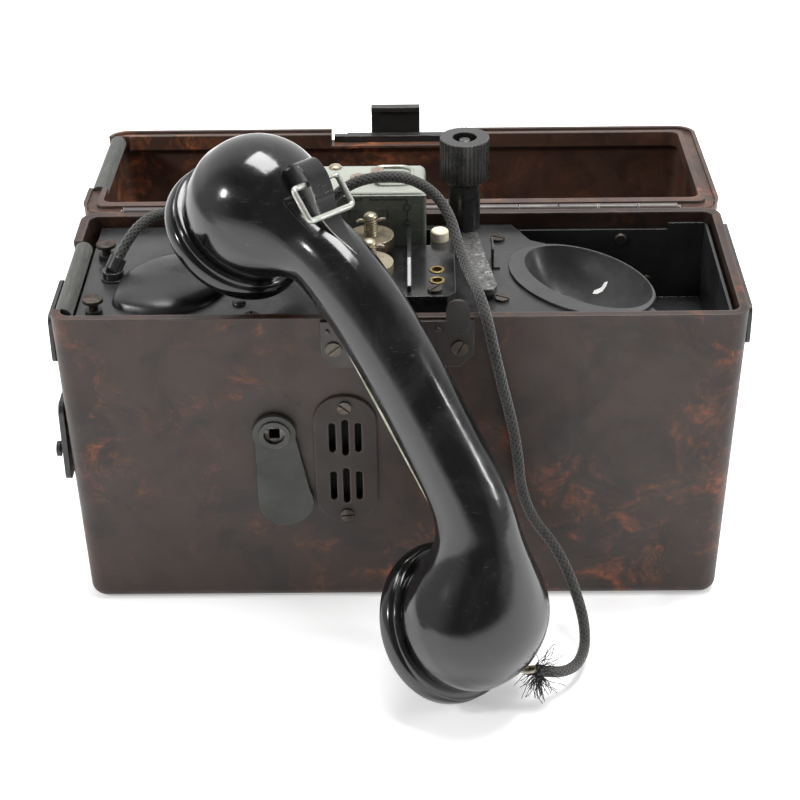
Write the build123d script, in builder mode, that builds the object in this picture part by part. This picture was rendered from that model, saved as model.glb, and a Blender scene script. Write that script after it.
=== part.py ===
"""Portable field telephone: moulded case with an open lid, crank generator, and a corded handset on its rim.

Millimetres, +Z up. The origin is the middle of the case's underside; the front of the case faces -Y.
"""

import os
from math import cos, pi, radians, sin, tan

from build123d import *

os.makedirs("parts", exist_ok=True)

# ------------------------------------------------------------ driving dimensions
CASE_W, CASE_D, CASE_H = 272.0, 95.0, 136.0  # rim, outside
BASE_W, BASE_D = 264.0, 91.0  # underside, outside
WALL = 3.7
CORNER_R = 7.0
DECK_Z = 131.0  # top of the deck plate
DECK_T = 2.0
FRONT_Y, BACK_Y = -CASE_D / 2, CASE_D / 2
FRONT_LEAN = (CASE_D - BASE_D) / 2 / CASE_H  # how far the front wall leans out per mm of height
SIDE_LEAN = (CASE_W - BASE_W) / 2 / CASE_H

HINGE_Y, HINGE_Z = BACK_Y + 3.0, CASE_H - 1.2
LID_TILT = 3.0  # degrees that the open lid drops past level
LID_W, LID_D, LID_H = 276.0, 97.0, 62.0
LID_NEAR = 3.0  # from the hinge axis to the lid's rear wall
LIP = 2.0

PORT_X, PORT_Z = -50.5, 84.0  # crank shaft port on the front wall
VENT_X, VENT_Z = -22.2, 70.5
FRONT_SCREWS = ((-25.6, 122.9), (23.5, 123.1), (VENT_X, 96.0), (VENT_X, 44.2))  # strike plate, vent plate

TIN_X, TIN_Y = -11.5, 23.5
TIN_W, TIN_D, TIN_TOP, TIN_BOTTOM = 45.0, 27.0, 162.0, 96.0
NUT_X, NUT_YS, NUT_Z = -11.4, (-2.5, -26.0), 147.0
NUT_R, NUT_H, POST_R = 9.3, 4.6, 2.6
BLOCK_TOP = 139.0
BUTTON = (16.5, 13.6)
BLOCK_SCREW = (14.0, -31.2)
SOCKETS = ((15.0, -13.8), (15.0, -23.0))

BOWL, BOWL_LONG, BOWL_WIDE, BOWL_TURN = (76.0, -7.0), 33.2, 20.2, -51.5
KNOB = (27.0, 32.0)
ARM_END = (34.6, -21.0)
ARM_Z, ARM_T = 133.2, 2.8

GEAR_R, PINION_R = 20.0, 4.0  # generator pitch radii
GEAR_TEETH, PINION_TEETH = 50, 10
GEAR_Y = -30.0
ARMATURE_Z = PORT_Z - GEAR_R - PINION_R

EAR, MOUTH = Vector(-63.5, -16.0, 158.6), Vector(18.5, -100.5, 29.3)  # middles of the two caps' rims
REACH = (MOUTH - EAR).length
ALONG = (MOUTH - EAR).normalized()  # ear to mouth
UP_BACK = Vector(0.58, -0.48, 0.657)
BACK = (UP_BACK - ALONG * UP_BACK.dot(ALONG)).normalized()  # from the speaking side to the back
EAR_R, MOUTH_R = 30.0, 32.0
EAR_DOME, MOUTH_DOME = 27.5, 28.0
TOE_IN = 8.0
CORD_D = 4.4

# ------------------------------------------------------------ shared planes and helpers
front_plane = Plane(origin=(0, FRONT_Y, CASE_H), x_dir=(1, 0, 0), z_dir=(0, -1, -FRONT_LEAN))
lid_plane = Plane(
    origin=(0, HINGE_Y, HINGE_Z), x_dir=(1, 0, 0), z_dir=(0, sin(radians(LID_TILT)), cos(radians(LID_TILT)))
)
grip_plane = Plane(origin=EAR, x_dir=ALONG, z_dir=BACK)


def on_front(x, z):
    """A place on the front wall's outside, in front_plane's own x and y, from the case's x and z."""
    return (x, -(CASE_H - z) / cos(FRONT_LEAN))


def lid_at(y, z):
    """A plane level with the lid's rim, y back from the hinge axis and z above it in the lid's frame."""
    return Plane(origin=lid_plane.from_local_coords((0, y, z)), x_dir=(1, 0, 0), z_dir=lid_plane.z_dir)


def grip_at(x, z, toe=0.0):
    """A plane whose x runs along the grip from the ear and z to its back, tipped by toe degrees."""
    normal = ALONG * sin(radians(toe)) + BACK * cos(radians(toe))
    along = ALONG * cos(radians(toe)) - BACK * sin(radians(toe))
    return Plane(origin=grip_plane.from_local_coords((x, 0, z)), x_dir=along, z_dir=normal)


def upright(x, y, z):
    """A level plane at a place."""
    return Plane(origin=(x, y, z), x_dir=(1, 0, 0), z_dir=(0, 0, 1))


STANDING = (Align.CENTER, Align.CENTER, Align.MIN)
HANGING = (Align.CENTER, Align.CENTER, Align.MAX)


def box_between(x0, x1, y0, y1, z0, z1, mode=Mode.ADD):
    """A box from its limits, added to the block that is open."""
    with Locations(((x0 + x1) / 2, (y0 + y1) / 2, (z0 + z1) / 2)):
        Box(x1 - x0, y1 - y0, z1 - z0, mode=mode)


def wall_profile(low_w, high_w, z):
    """Corners of a section that widens evenly from low_w at z to high_w at the rim."""
    return ((-low_w / 2, z), (low_w / 2, z), (high_w / 2, CASE_H), (-high_w / 2, CASE_H))


def gear_outline(teeth, pitch_r, addendum, turn):
    """Corner points of a plain toothed wheel."""
    points = []
    for k in range(teeth):
        middle = 2 * pi * k / teeth + turn
        for offset, r in ((-0.30, -1.25), (-0.16, 1), (0.16, 1), (0.30, -1.25)):
            angle = middle + offset * 2 * pi / teeth
            points.append(((pitch_r + r * addendum) * cos(angle), (pitch_r + r * addendum) * sin(angle)))
    return points


def save(block, label):
    block.part.label = label
    export_step(block.part, f"parts/{label}.step")


# ------------------------------------------------------------ case shell
with BuildPart() as case_cavity:
    with BuildSketch(Plane.XZ):
        with BuildLine():
            Polyline(*wall_profile(BASE_W - 2 * WALL, CASE_W - 2 * WALL, 4.0), close=True)
        make_face()
    extrude(amount=100, both=True)
    with BuildSketch(Plane.YZ):
        with BuildLine():
            Polyline(*wall_profile(BASE_D - 2 * WALL, CASE_D - 2 * WALL, 4.0), close=True)
        make_face()
    extrude(amount=200, both=True, mode=Mode.INTERSECT)
    fillet(case_cavity.edges().filter_by(Axis.Z, tolerance=5), CORNER_R - 3)

with BuildPart() as case_body:
    with BuildSketch(Plane.XZ):
        with BuildLine():
            Polyline(*wall_profile(BASE_W, CASE_W, 0), close=True)
        make_face()
    extrude(amount=100, both=True)
    with BuildSketch(Plane.YZ):
        with BuildLine():
            Polyline(*wall_profile(BASE_D, CASE_D, 0), close=True)
        make_face()
    extrude(amount=200, both=True, mode=Mode.INTERSECT)
    fillet(case_body.edges().filter_by(Axis.Z, tolerance=5), CORNER_R)
    fillet(case_body.faces().sort_by(Axis.Z)[0].edges(), 5.0)
    add(case_cavity.part, mode=Mode.SUBTRACT)
    # the underside is lower at its ends and middle, as three feet
    for x0, x1 in ((-105, -15), (15, 105)):
        box_between(x0, x1, -60, 60, -1, 0.8, mode=Mode.SUBTRACT)
    # cable slot in the left wall, under the rubber tube
    box_between(-140, -125, -38.5, 20.5, CASE_H - 7.6, CASE_H + 1, mode=Mode.SUBTRACT)
    # crank port and bell openings through the front wall
    with BuildSketch(front_plane.offset(1)):
        with Locations(on_front(PORT_X, PORT_Z)):
            Circle(5.3)
        for row in (81.7, 58.5):
            with Locations(on_front(VENT_X, row)):
                SlotOverall(19, 15, rotation=90)
        with Locations(*[on_front(x, z) for x, z in FRONT_SCREWS]):
            Circle(1.65)
    extrude(amount=-10, mode=Mode.SUBTRACT)
save(case_body, "case_body")

with BuildPart() as case_pad_tube:
    with BuildSketch(Plane(origin=(-131.9, -38.2, CASE_H - 3.7), x_dir=(1, 0, 0), z_dir=(0, 1, 0))):
        Circle(3.6)
        Circle(1.5, mode=Mode.SUBTRACT)
    extrude(amount=58.4)
save(case_pad_tube, "case_pad_tube")

with BuildPart() as strike_plate:
    with BuildSketch(front_plane.offset(0.05)):
        with Locations(on_front(-0.7, 124.8)):
            Rectangle(59.6, 20.4)
        with Locations(on_front(-25.6, 122.9), on_front(23.5, 123.1)):
            Circle(1.7, mode=Mode.SUBTRACT)
    extrude(amount=1.5)
    chamfer(strike_plate.edges().filter_by(Axis.Y, tolerance=3).group_by(Axis.Z)[0], 5.5)
    with BuildSketch(front_plane.offset(0.05)):
        with Locations(on_front(22.8, 136.5)):
            SlotOverall(15, 9.4, rotation=90)
    extrude(amount=1.6)
    # its rivets
    with BuildSketch(front_plane.offset(1.2)):
        with Locations(on_front(15, 131.4), on_front(-16, 131.4), on_front(-28, 130.8)):
            Circle(1.3)
    extrude(amount=1.1, taper=25)
save(strike_plate, "strike_plate")

# ------------------------------------------------------------ bell outlet and crank port on the front wall
with BuildPart() as vent_plate:
    with BuildSketch(front_plane.offset(0.05)):
        with Locations(on_front(VENT_X, VENT_Z)):
            SlotOverall(61.4, 25.6, rotation=90)
    extrude(amount=1.5)
    fillet(vent_plate.faces().sort_by(Axis.Y)[0].edges(), 0.6)
    with BuildSketch(front_plane.offset(2)):
        for column in (-5.2, 0, 5.2):
            tall = 17.2 if column == 0 else 14.0
            with Locations(on_front(VENT_X + column, 81.7), on_front(VENT_X + column, 58.5)):
                SlotOverall(tall, 2.7, rotation=90)
        with Locations(on_front(VENT_X, 96.0), on_front(VENT_X, 44.2)):
            Circle(1.7)
    extrude(amount=-3, mode=Mode.SUBTRACT)
save(vent_plate, "vent_plate")

with BuildPart() as front_screws:
    for (x, z), head_r in zip(FRONT_SCREWS, (3.2, 3.2, 2.8, 2.8)):
        with BuildSketch(front_plane.offset(1.6)):
            with Locations(on_front(x, z)):
                Circle(head_r)
        extrude(amount=0.8)
        with BuildSketch(front_plane.offset(1.6)):
            with Locations(on_front(x, z)):
                Circle(1.5)
        extrude(amount=-6)
    with BuildSketch(front_plane.offset(2.5)):
        for (x, z), angle in zip(FRONT_SCREWS, (40, 65, -40, 5)):
            with Locations(on_front(x, z)):
                Rectangle(7, 0.8, rotation=angle)
    extrude(amount=-0.7, mode=Mode.SUBTRACT)
save(front_screws, "front_screws")

with BuildPart() as port_bush:
    with BuildSketch(front_plane.offset(2.8)):
        with Locations(on_front(PORT_X, PORT_Z)):
            Circle(6.2)
    extrude(amount=0.5)
    with BuildSketch(front_plane.offset(2.8)):
        with Locations(on_front(PORT_X, PORT_Z)):
            Circle(5.25)
    extrude(amount=-8.5)
    with BuildSketch(Plane(origin=(PORT_X, FRONT_Y - 5, PORT_Z), x_dir=(1, 0, 0), z_dir=(0, 1, 0))):
        Circle(4.2)
    extrude(amount=14, mode=Mode.SUBTRACT)
save(port_bush, "port_bush")

with BuildPart() as port_cover:
    with BuildSketch(front_plane.offset(0.6)):
        with BuildLine():
            corners = ((-58.3, 85), (-58.3, 50), (-35.8, 50), (-43.2, 88))
            Polyline(*[on_front(x, z) for x, z in corners], close=True)
        make_face()
        with Locations(on_front(PORT_X, PORT_Z)):
            Circle(8.6)
        with Locations(on_front(-47.05, 51)):
            Circle(11.25)
        with Locations(on_front(PORT_X, PORT_Z)):
            Circle(5.6, mode=Mode.SUBTRACT)
    extrude(amount=1.9)
save(port_cover, "port_cover")

# ------------------------------------------------------------ strap plates on the narrow sides
with BuildPart() as strap_plate:
    box_between(-137.9, -135.7, -40, 6, 56, 92)
    fillet(strap_plate.edges().filter_by(Axis.X), 4)
save(strap_plate, "strap_plate")

with BuildPart() as strap_stud:
    with BuildSketch(Plane(origin=(-138.0, -30, 66), x_dir=(0, 1, 0), z_dir=(-1, 0, 0))):
        Circle(1.8)
    extrude(amount=2.4)
    with BuildSketch(Plane(origin=(-140.4, -30, 66), x_dir=(0, 1, 0), z_dir=(-1, 0, 0))):
        Circle(3.2)
    extrude(amount=1.6)
save(strap_stud, "strap_stud")

with BuildPart() as side_pads:
    for side, low, high, back in ((-1, 112, 133, -6), (1, 118, 135, 36)):
        x = side * (CASE_W / 2 + 0.05)
        box_between(min(x, x + side * 1.6), max(x, x + side * 1.6), -40, back, low, high)
    fillet(side_pads.edges().filter_by(Axis.X), 3)
save(side_pads, "side_pads")

# ------------------------------------------------------------ deck and what stands on it
with BuildPart() as deck_plate:
    with BuildSketch(Plane.XY.offset(DECK_Z - DECK_T)):
        with BuildLine():
            Polyline((-127.6, -43), (-127.6, 43), (47.2, 43), (54.6, 28), (68, 21), (106, -43), close=True)
        make_face()
        with Locations(BOWL):
            Ellipse(BOWL_LONG + 0.5, BOWL_WIDE + 0.5, rotation=BOWL_TURN, mode=Mode.SUBTRACT)
        with Locations((TIN_X, TIN_Y)):
            Rectangle(TIN_W + 3.4, TIN_D + 3.4, mode=Mode.SUBTRACT)
    extrude(amount=DECK_T)
    # low mound under the ear cap's resting place
    with BuildSketch(Plane.XY.offset(DECK_Z)):
        with Locations((-91, -10)):
            Ellipse(20, 24, rotation=-30)
    extrude(amount=4.0, taper=40)
save(deck_plate, "deck_plate")

with BuildPart() as deck_screws:
    for x, y in ((41, 29), (40.7, -24), (-60, 36), (-58, -37)):
        with Locations((x, y, DECK_Z + 0.55)):
            Cylinder(3.0, 1.1)
        with Locations((x, y, DECK_Z + 1.1)):
            Box(5.8, 0.8, 1.0, rotation=(0, 0, 17 * x), mode=Mode.SUBTRACT)
    # the terminal block's screw
    with Locations((*BLOCK_SCREW, BLOCK_TOP)):
        Cylinder(2.9, 1.2, align=STANDING)
        Cylinder(1.55, 7, align=HANGING)
    with Locations((*BLOCK_SCREW, BLOCK_TOP + 1.2)):
        Box(6, 0.8, 1.2, rotation=(0, 0, 50), mode=Mode.SUBTRACT)
    # heads on the battery tray's rear wall
    for x, z in ((94, 124.5), (106, 104.5)):
        with BuildSketch(Plane(origin=(x, 41.3, z), x_dir=(1, 0, 0), z_dir=(0, -1, 0))):
            Circle(2.7)
        extrude(amount=1.3, taper=20)
save(deck_screws, "deck_screws")

# an oblong dish that takes one end of the stowed handset, with a flange on its left side
with BuildPart() as handset_bowl:
    for z, grow in ((DECK_Z + 0.1, 0), (DECK_Z - 8, -4.5), (DECK_Z - 17, -13)):
        with BuildSketch(Plane.XY.offset(z)):
            with Locations(BOWL):
                Ellipse(BOWL_LONG + grow, BOWL_WIDE + grow, rotation=BOWL_TURN)
    loft()
    with BuildSketch(Plane.XY.offset(DECK_Z + 0.1)):
        with Locations((BOWL[0] - 3.0, BOWL[1] - 2.2)):
            Ellipse(BOWL_LONG + 2, BOWL_WIDE + 3, rotation=BOWL_TURN)
    extrude(amount=1.1)
    for z, grow in ((DECK_Z + 1.3, -1.2), (DECK_Z - 7.5, -5.7), (DECK_Z - 15.8, -14.2)):
        with BuildSketch(Plane.XY.offset(z)):
            with Locations(BOWL):
                Ellipse(BOWL_LONG + grow, BOWL_WIDE + grow, rotation=BOWL_TURN)
    loft(mode=Mode.SUBTRACT)
save(handset_bowl, "handset_bowl")

with BuildPart() as battery_tray:
    box_between(50, 130.6, -42.6, 42.6, 95, DECK_Z + 0.8)
    fillet(battery_tray.edges().filter_by(Axis.Z).group_by(Axis.X)[-1], 4)
    box_between(51.2, 129.4, -41.4, 41.4, 96.2, DECK_Z + 5, mode=Mode.SUBTRACT)
    # its left part stops under the deck plate
    box_between(49, 114, -44, 44, DECK_Z - DECK_T - 0.1, DECK_Z + 5, mode=Mode.SUBTRACT)
save(battery_tray, "battery_tray")

with BuildPart() as terminal_block:
    box_between(-30, 22.3, -36, 8.2, DECK_Z, BLOCK_TOP)
    box_between(4.8, 22.3, 8.2, 20, DECK_Z, BLOCK_TOP)
    # room round the pull-out tin, and a step down under the terminal nuts
    room_x, room_y = TIN_X + TIN_W / 2 + 1.7, TIN_Y - TIN_D / 2 - 1.7
    box_between(-46, room_x, room_y, 45, DECK_Z - 1, BLOCK_TOP + 1, mode=Mode.SUBTRACT)
    chamfer(terminal_block.edges().filter_by(Axis.Z).sort_by_distance((22.3, -36, 135))[0], 3.5)
    with Locations((*BUTTON, BLOCK_TOP)):
        Hole(3.75)
    with Locations(*[(x, y, BLOCK_TOP) for x, y in SOCKETS]):
        Hole(3.0)
    with Locations((*BLOCK_SCREW, BLOCK_TOP)):
        Hole(1.6)
    for y in NUT_YS:
        with Locations((NUT_X, y, BLOCK_TOP)):
            Hole(POST_R + 0.1)
    # upright fin between the nuts and the sockets
    with BuildSketch(Plane.YZ.offset(3.2)):
        with BuildLine():
            Polyline(
                (-33, BLOCK_TOP - 1), (7.8, BLOCK_TOP - 1), (7.8, BLOCK_TOP + 9), (-20, BLOCK_TOP + 9),
                (-33, BLOCK_TOP + 3), close=True,
            )
        make_face()
    extrude(amount=1.6)
save(terminal_block, "terminal_block")

with BuildPart() as terminal_posts:
    for y in NUT_YS:
        with Locations((NUT_X, y, DECK_Z)):
            Cylinder(POST_R, BLOCK_TOP + 19 - DECK_Z, align=STANDING)
    fillet(terminal_posts.edges().group_by(Axis.Z)[-1], 1.0)
    for y in NUT_YS:
        with Locations((NUT_X, y, BLOCK_TOP)):
            Cylinder(5.5, NUT_Z - NUT_H / 2 - BLOCK_TOP - 0.1, align=STANDING)
save(terminal_posts, "terminal_posts")

for label, y in zip(("terminal_nut_rear", "terminal_nut_front"), NUT_YS):
    with BuildPart() as terminal_nut:
        with BuildSketch(upright(NUT_X, y, NUT_Z - NUT_H / 2)):
            Circle(NUT_R)
            with PolarLocations(NUT_R + 0.1, 48):
                Rectangle(0.7, 0.5, mode=Mode.SUBTRACT)
            Circle(POST_R + 0.05, mode=Mode.SUBTRACT)
        extrude(amount=NUT_H)
    save(terminal_nut, label)

with BuildPart() as line_sockets:
    for x, y in SOCKETS:
        with Locations((x, y, DECK_Z + 0.5)):
            Cylinder(2.95, BLOCK_TOP + 0.4 - DECK_Z - 0.5, align=STANDING)
        with Locations((x, y, BLOCK_TOP + 1)):
            Cylinder(2.0, 6.5, align=HANGING, mode=Mode.SUBTRACT)
save(line_sockets, "line_sockets")

with BuildPart() as test_button:
    with Locations((*BUTTON, DECK_Z + 2.2)):
        Cylinder(3.65, BLOCK_TOP + 4.4 - DECK_Z - 2.2, align=STANDING)
    fillet(test_button.edges().group_by(Axis.Z)[-1], 1.0)
save(test_button, "test_button")

# ------------------------------------------------------------ pull-out tin and its ring
with BuildPart() as tin_box:
    box_between(
        TIN_X - TIN_W / 2, TIN_X + TIN_W / 2, TIN_Y - TIN_D / 2, TIN_Y + TIN_D / 2, TIN_BOTTOM, TIN_TOP
    )
    fillet(tin_box.edges().filter_by(Axis.Y).group_by(Axis.Z)[-1], 3.0)
    fillet(tin_box.edges().filter_by(Axis.Z), 1.5)
save(tin_box, "tin_box")

TIN_RING_X = -9.0  # middle of the ring's hinged side
with BuildPart() as tin_ring_clip:
    for x in (TIN_RING_X - 7.5, TIN_RING_X + 7.5):
        with Locations((x, TIN_Y, TIN_TOP + 0.05)):
            Cylinder(3.6, 0.9, align=STANDING)
        with Locations((x, TIN_Y, TIN_TOP + 0.9)):
            Cylinder(1.7, 1.0, align=STANDING)
    box_between(TIN_RING_X - 7.5, TIN_RING_X + 7.5, TIN_Y - 3.2, TIN_Y + 3.2, TIN_TOP + 0.05, TIN_TOP + 0.8)
    box_between(TIN_RING_X - 2.6, TIN_RING_X + 2.6, TIN_Y - 3.2, TIN_Y + 3.2, TIN_TOP + 0.05, TIN_TOP + 3.6)
    with BuildSketch(Plane(origin=(TIN_RING_X, TIN_Y - 5, TIN_TOP + 2.0), x_dir=(1, 0, 0), z_dir=(0, 1, 0))):
        Circle(0.98)
    extrude(amount=10, mode=Mode.SUBTRACT)
save(tin_ring_clip, "tin_ring_clip")

with BuildPart() as tin_ring:
    with BuildLine(upright(TIN_RING_X, TIN_Y, TIN_TOP + 2.0)):
        loop = ((0, 0), (0, 6.8), (14.4, 6.8), (14.4, -6.8), (0, -6.8), (0, 0.001))
        FilletPolyline(*loop, radius=(2, 5, 5, 2))
    with BuildSketch(Plane(origin=(TIN_RING_X, TIN_Y, TIN_TOP + 2.0), x_dir=(1, 0, 0), z_dir=(0, 1, 0))):
        Circle(0.9)
    sweep()
save(tin_ring, "tin_ring")

# ------------------------------------------------------------ crank, stowed on the deck
arm_dx, arm_dy = ARM_END[0] - KNOB[0], ARM_END[1] - KNOB[1]
arm_length = (arm_dx**2 + arm_dy**2) ** 0.5
arm_x_dir = (arm_dx / arm_length, arm_dy / arm_length, 0)
with BuildPart() as crank_arm:
    with BuildSketch(Plane(origin=(*KNOB, ARM_Z), x_dir=arm_x_dir, z_dir=(0, 0, 1))):
        with Locations((arm_length / 2, 0)):
            SlotOverall(arm_length + 8.4, 8.4)
        Circle(5.2)
    extrude(amount=ARM_T)
    with Locations((*KNOB, ARM_Z)):
        Cylinder(2.2, 42.0, align=STANDING)
save(crank_arm, "crank_arm")

with BuildPart() as crank_knob:
    base = ARM_Z + ARM_T + 0.3
    with Locations((*KNOB, base)):
        Cylinder(6.6, 21, align=STANDING)
    with Locations((*KNOB, base + 20)):
        Cone(7.2, 10.2, 2.5, align=STANDING)
    with BuildSketch(upright(*KNOB, base + 22.5)):
        Circle(10.2)
        with PolarLocations(10.3, 36):
            Rectangle(0.8, 0.7, mode=Mode.SUBTRACT)
    extrude(amount=17.5)
    with Locations((*KNOB, base + 40)):
        Cylinder(5.0, 6, align=HANGING, mode=Mode.SUBTRACT)
    with Locations((*KNOB, base - 1)):
        Cylinder(2.27, 60, align=STANDING, mode=Mode.SUBTRACT)
save(crank_knob, "crank_knob")

with BuildPart() as crank_clip:
    box_between(37.6, 41.0, 2, 13, DECK_Z, DECK_Z + 0.8)
    box_between(37.6, 38.4, 2, 13, DECK_Z, DECK_Z + 9)
save(crank_clip, "crank_clip")

# ------------------------------------------------------------ left end of the deck
GLAND = Vector(-116.5, -3.5, DECK_Z)
GLAND_DIR = Vector(0.42, 0.50, 0.757).normalized()
THUMB_SCREWS = (("thumb_screw_rear", -121.6, 15), ("thumb_screw_front", -120.4, -33))
with BuildPart() as deck_washers:
    for _, x, y in THUMB_SCREWS:
        with Locations((x, y, DECK_Z)):
            Cylinder(3.4, 2.0, align=STANDING)
    with Locations(GLAND):
        Cylinder(5.0, 0.9, align=STANDING)
save(deck_washers, "deck_washers")

for label, x, y in THUMB_SCREWS:
    with BuildPart() as thumb_screw:
        with Locations((x, y, DECK_Z + 2.1)):
            Cylinder(1.8, 3.4, align=STANDING)
        with Locations((x, y, DECK_Z + 5.4)):
            Cylinder(4.1, 1.5, align=STANDING)
        fillet(thumb_screw.edges().group_by(Axis.Z)[-1], 0.5)
    save(thumb_screw, label)

with BuildPart() as cord_gland:
    with Locations(GLAND + Vector(0, 0, 0.9)):
        Cylinder(4.3, 3.0, align=STANDING)
    with BuildSketch(Plane(origin=GLAND + Vector(0, 0, 3.8), z_dir=GLAND_DIR)):
        Circle(3.5)
    extrude(amount=5.6)
save(cord_gland, "cord_gland")
CORD_START = GLAND + Vector(0, 0, 3.8) + GLAND_DIR * 5.6

# ------------------------------------------------------------ chassis and works under the deck
with BuildPart() as chassis:
    box_between(-118, 48, -38, 38, 5.5, 7.0)
    for x in (-118, 46.5):
        box_between(x, x + 1.5, -38, 38, 7.0, DECK_Z - DECK_T)
save(chassis, "chassis")

with BuildPart() as generator_frame:
    for y in (-24, 20):
        box_between(-80, -21, y, y + 3, 7.0, 94)
    with BuildSketch(Plane(origin=(0, -26, 0), x_dir=(1, 0, 0), z_dir=(0, 1, 0))):
        with Locations((PORT_X, -PORT_Z), (PORT_X, -ARMATURE_Z)):
            Circle(3.04)
    extrude(amount=60, mode=Mode.SUBTRACT)
save(generator_frame, "generator_frame")

with BuildPart() as generator_magnets:
    for y in (-19, -6, 7):
        with BuildSketch(Plane(origin=(PORT_X, y, ARMATURE_Z), x_dir=(1, 0, 0), z_dir=(0, 1, 0))):
            with Locations((0, 18)):
                Rectangle(54, 70)
            Circle(14.6, mode=Mode.SUBTRACT)
            with Locations((0, 24)):
                Rectangle(28, 49, mode=Mode.SUBTRACT)
        extrude(amount=11.6)
save(generator_magnets, "generator_magnets")

with BuildPart() as armature:
    with BuildSketch(Plane(origin=(PORT_X, -20, ARMATURE_Z), x_dir=(1, 0, 0), z_dir=(0, 1, 0))):
        Circle(13.8)
        with Locations((0, 11), (0, -11)):
            Rectangle(15, 12, mode=Mode.SUBTRACT)
    extrude(amount=38.5)
    with BuildSketch(Plane(origin=(PORT_X, GEAR_Y, ARMATURE_Z), x_dir=(1, 0, 0), z_dir=(0, 1, 0))):
        Circle(2.4)
    extrude(amount=55)
    with BuildSketch(Plane(origin=(PORT_X, GEAR_Y - 2, ARMATURE_Z), x_dir=(1, 0, 0), z_dir=(0, 1, 0))):
        with BuildLine():
            Polyline(*gear_outline(PINION_TEETH, PINION_R, 0.62, pi / PINION_TEETH + pi / 2), close=True)
        make_face()
    extrude(amount=4.5)
save(armature, "armature")

with BuildPart() as drive_gear:
    with BuildSketch(Plane(origin=(PORT_X, GEAR_Y - 1.5, PORT_Z), x_dir=(1, 0, 0), z_dir=(0, 1, 0))):
        with BuildLine():
            Polyline(*gear_outline(GEAR_TEETH, GEAR_R, 0.62, pi / 2), close=True)
        make_face()
        Circle(3.95, mode=Mode.SUBTRACT)
    extrude(amount=3.5)
save(drive_gear, "drive_gear")

with BuildPart() as drive_shaft:
    shaft_front = FRONT_Y + 2.6
    with BuildSketch(Plane(origin=(PORT_X, shaft_front - 3.5, PORT_Z), x_dir=(1, 0, 0), z_dir=(0, 1, 0))):
        Circle(4.13)
    extrude(amount=GEAR_Y - 1.6 - shaft_front + 3.5)
    with BuildSketch(Plane(origin=(PORT_X, GEAR_Y - 1.6, PORT_Z), x_dir=(1, 0, 0), z_dir=(0, 1, 0))):
        Circle(3.95)
    extrude(amount=3.7)
    with BuildSketch(Plane(origin=(PORT_X, GEAR_Y + 2, PORT_Z), x_dir=(1, 0, 0), z_dir=(0, 1, 0))):
        Circle(3.0)
    extrude(amount=54)
    # socket for the crank
    with BuildSketch(Plane(origin=(PORT_X, shaft_front - 4, PORT_Z), x_dir=(1, 0, 0), z_dir=(0, 1, 0))):
        Rectangle(4.4, 4.4)
    extrude(amount=8, mode=Mode.SUBTRACT)
save(drive_shaft, "drive_shaft")

BELL = (5.0, 78.0)
with BuildPart() as bell_gongs:
    for dx in (-17, 17):
        with BuildSketch(Plane(origin=(BELL[0] + dx, -37.5, BELL[1]), x_dir=(1, 0, 0), z_dir=(0, 1, 0))):
            Circle(15)
        extrude(amount=9, taper=18)
        with BuildSketch(Plane(origin=(BELL[0] + dx, -37.6, BELL[1]), x_dir=(1, 0, 0), z_dir=(0, 1, 0))):
            Circle(13.6)
        extrude(amount=8, taper=18, mode=Mode.SUBTRACT)
save(bell_gongs, "bell_gongs")

with BuildPart() as bell_coils:
    for x in (-5, 15):
        with BuildSketch(Plane(origin=(x, -24, 50), x_dir=(1, 0, 0), z_dir=(0, 1, 0))):
            Circle(8)
        extrude(amount=34)
    box_between(-14, 24, -26.5, -24, 40, 78)
    box_between(-14, 24, 10, 13, 7.0, 60)
    for dx in (-17, 17):
        post = (BELL[0] + dx * 0.95, -28.4, BELL[1] - 1)
        with BuildSketch(Plane(origin=post, x_dir=(1, 0, 0), z_dir=(0, 1, 0))):
            Circle(2.2)
        extrude(amount=4.4)
save(bell_coils, "bell_coils")

with BuildPart() as bell_hammer:
    with BuildSketch(Plane(origin=(BELL[0], -35, 62), x_dir=(1, 0, 0), z_dir=(0, 1, 0))):
        Circle(1.5)
    extrude(amount=8.0)
    box_between(BELL[0] - 0.6, BELL[0] + 0.6, -34, -32, 62, 92)
    with Locations((BELL[0], -33, 95)):
        Sphere(3.0)
save(bell_hammer, "bell_hammer")

with BuildPart() as induction_coil:
    with BuildSketch(Plane(origin=(34, -20, 26), x_dir=(1, 0, 0), z_dir=(0, 1, 0))):
        Circle(9)
    extrude(amount=52)
    for y in (-21.5, 31):
        box_between(24.6, 43.4, y, y + 2, 7.0, 37)
save(induction_coil, "induction_coil")

with BuildPart() as capacitors:
    for x in (-110, -97):
        box_between(x, x + 11, -20, 26, 7.0, 62)
save(capacitors, "capacitors")

with BuildPart() as dry_battery:
    box_between(54, 126, -36, 36, 4.2, 88)
    fillet(dry_battery.edges().filter_by(Axis.Z), 3)
    for x in (70, 110):
        with Locations((x, 0, 88)):
            Cylinder(4, 5, align=STANDING)
save(dry_battery, "dry_battery")

# ------------------------------------------------------------ hinge
with BuildPart() as hinge_leaf_case:
    box_between(-119, 119, BACK_Y + 0.05, BACK_Y + 1.05, 117, HINGE_Z)
    for k in range(7):
        start = -119 + k * 34.0
        with BuildSketch(Plane(origin=(start, HINGE_Y, HINGE_Z), x_dir=(0, 1, 0), z_dir=(1, 0, 0))):
            Circle(1.9)
            with Locations((-1.2, -0.9)):
                Rectangle(1.6, 1.8)
        extrude(amount=16.6)
    with BuildSketch(Plane(origin=(-125, HINGE_Y, HINGE_Z), x_dir=(0, 1, 0), z_dir=(1, 0, 0))):
        Circle(1.05)
    extrude(amount=250, mode=Mode.SUBTRACT)
save(hinge_leaf_case, "hinge_leaf_case")

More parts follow.
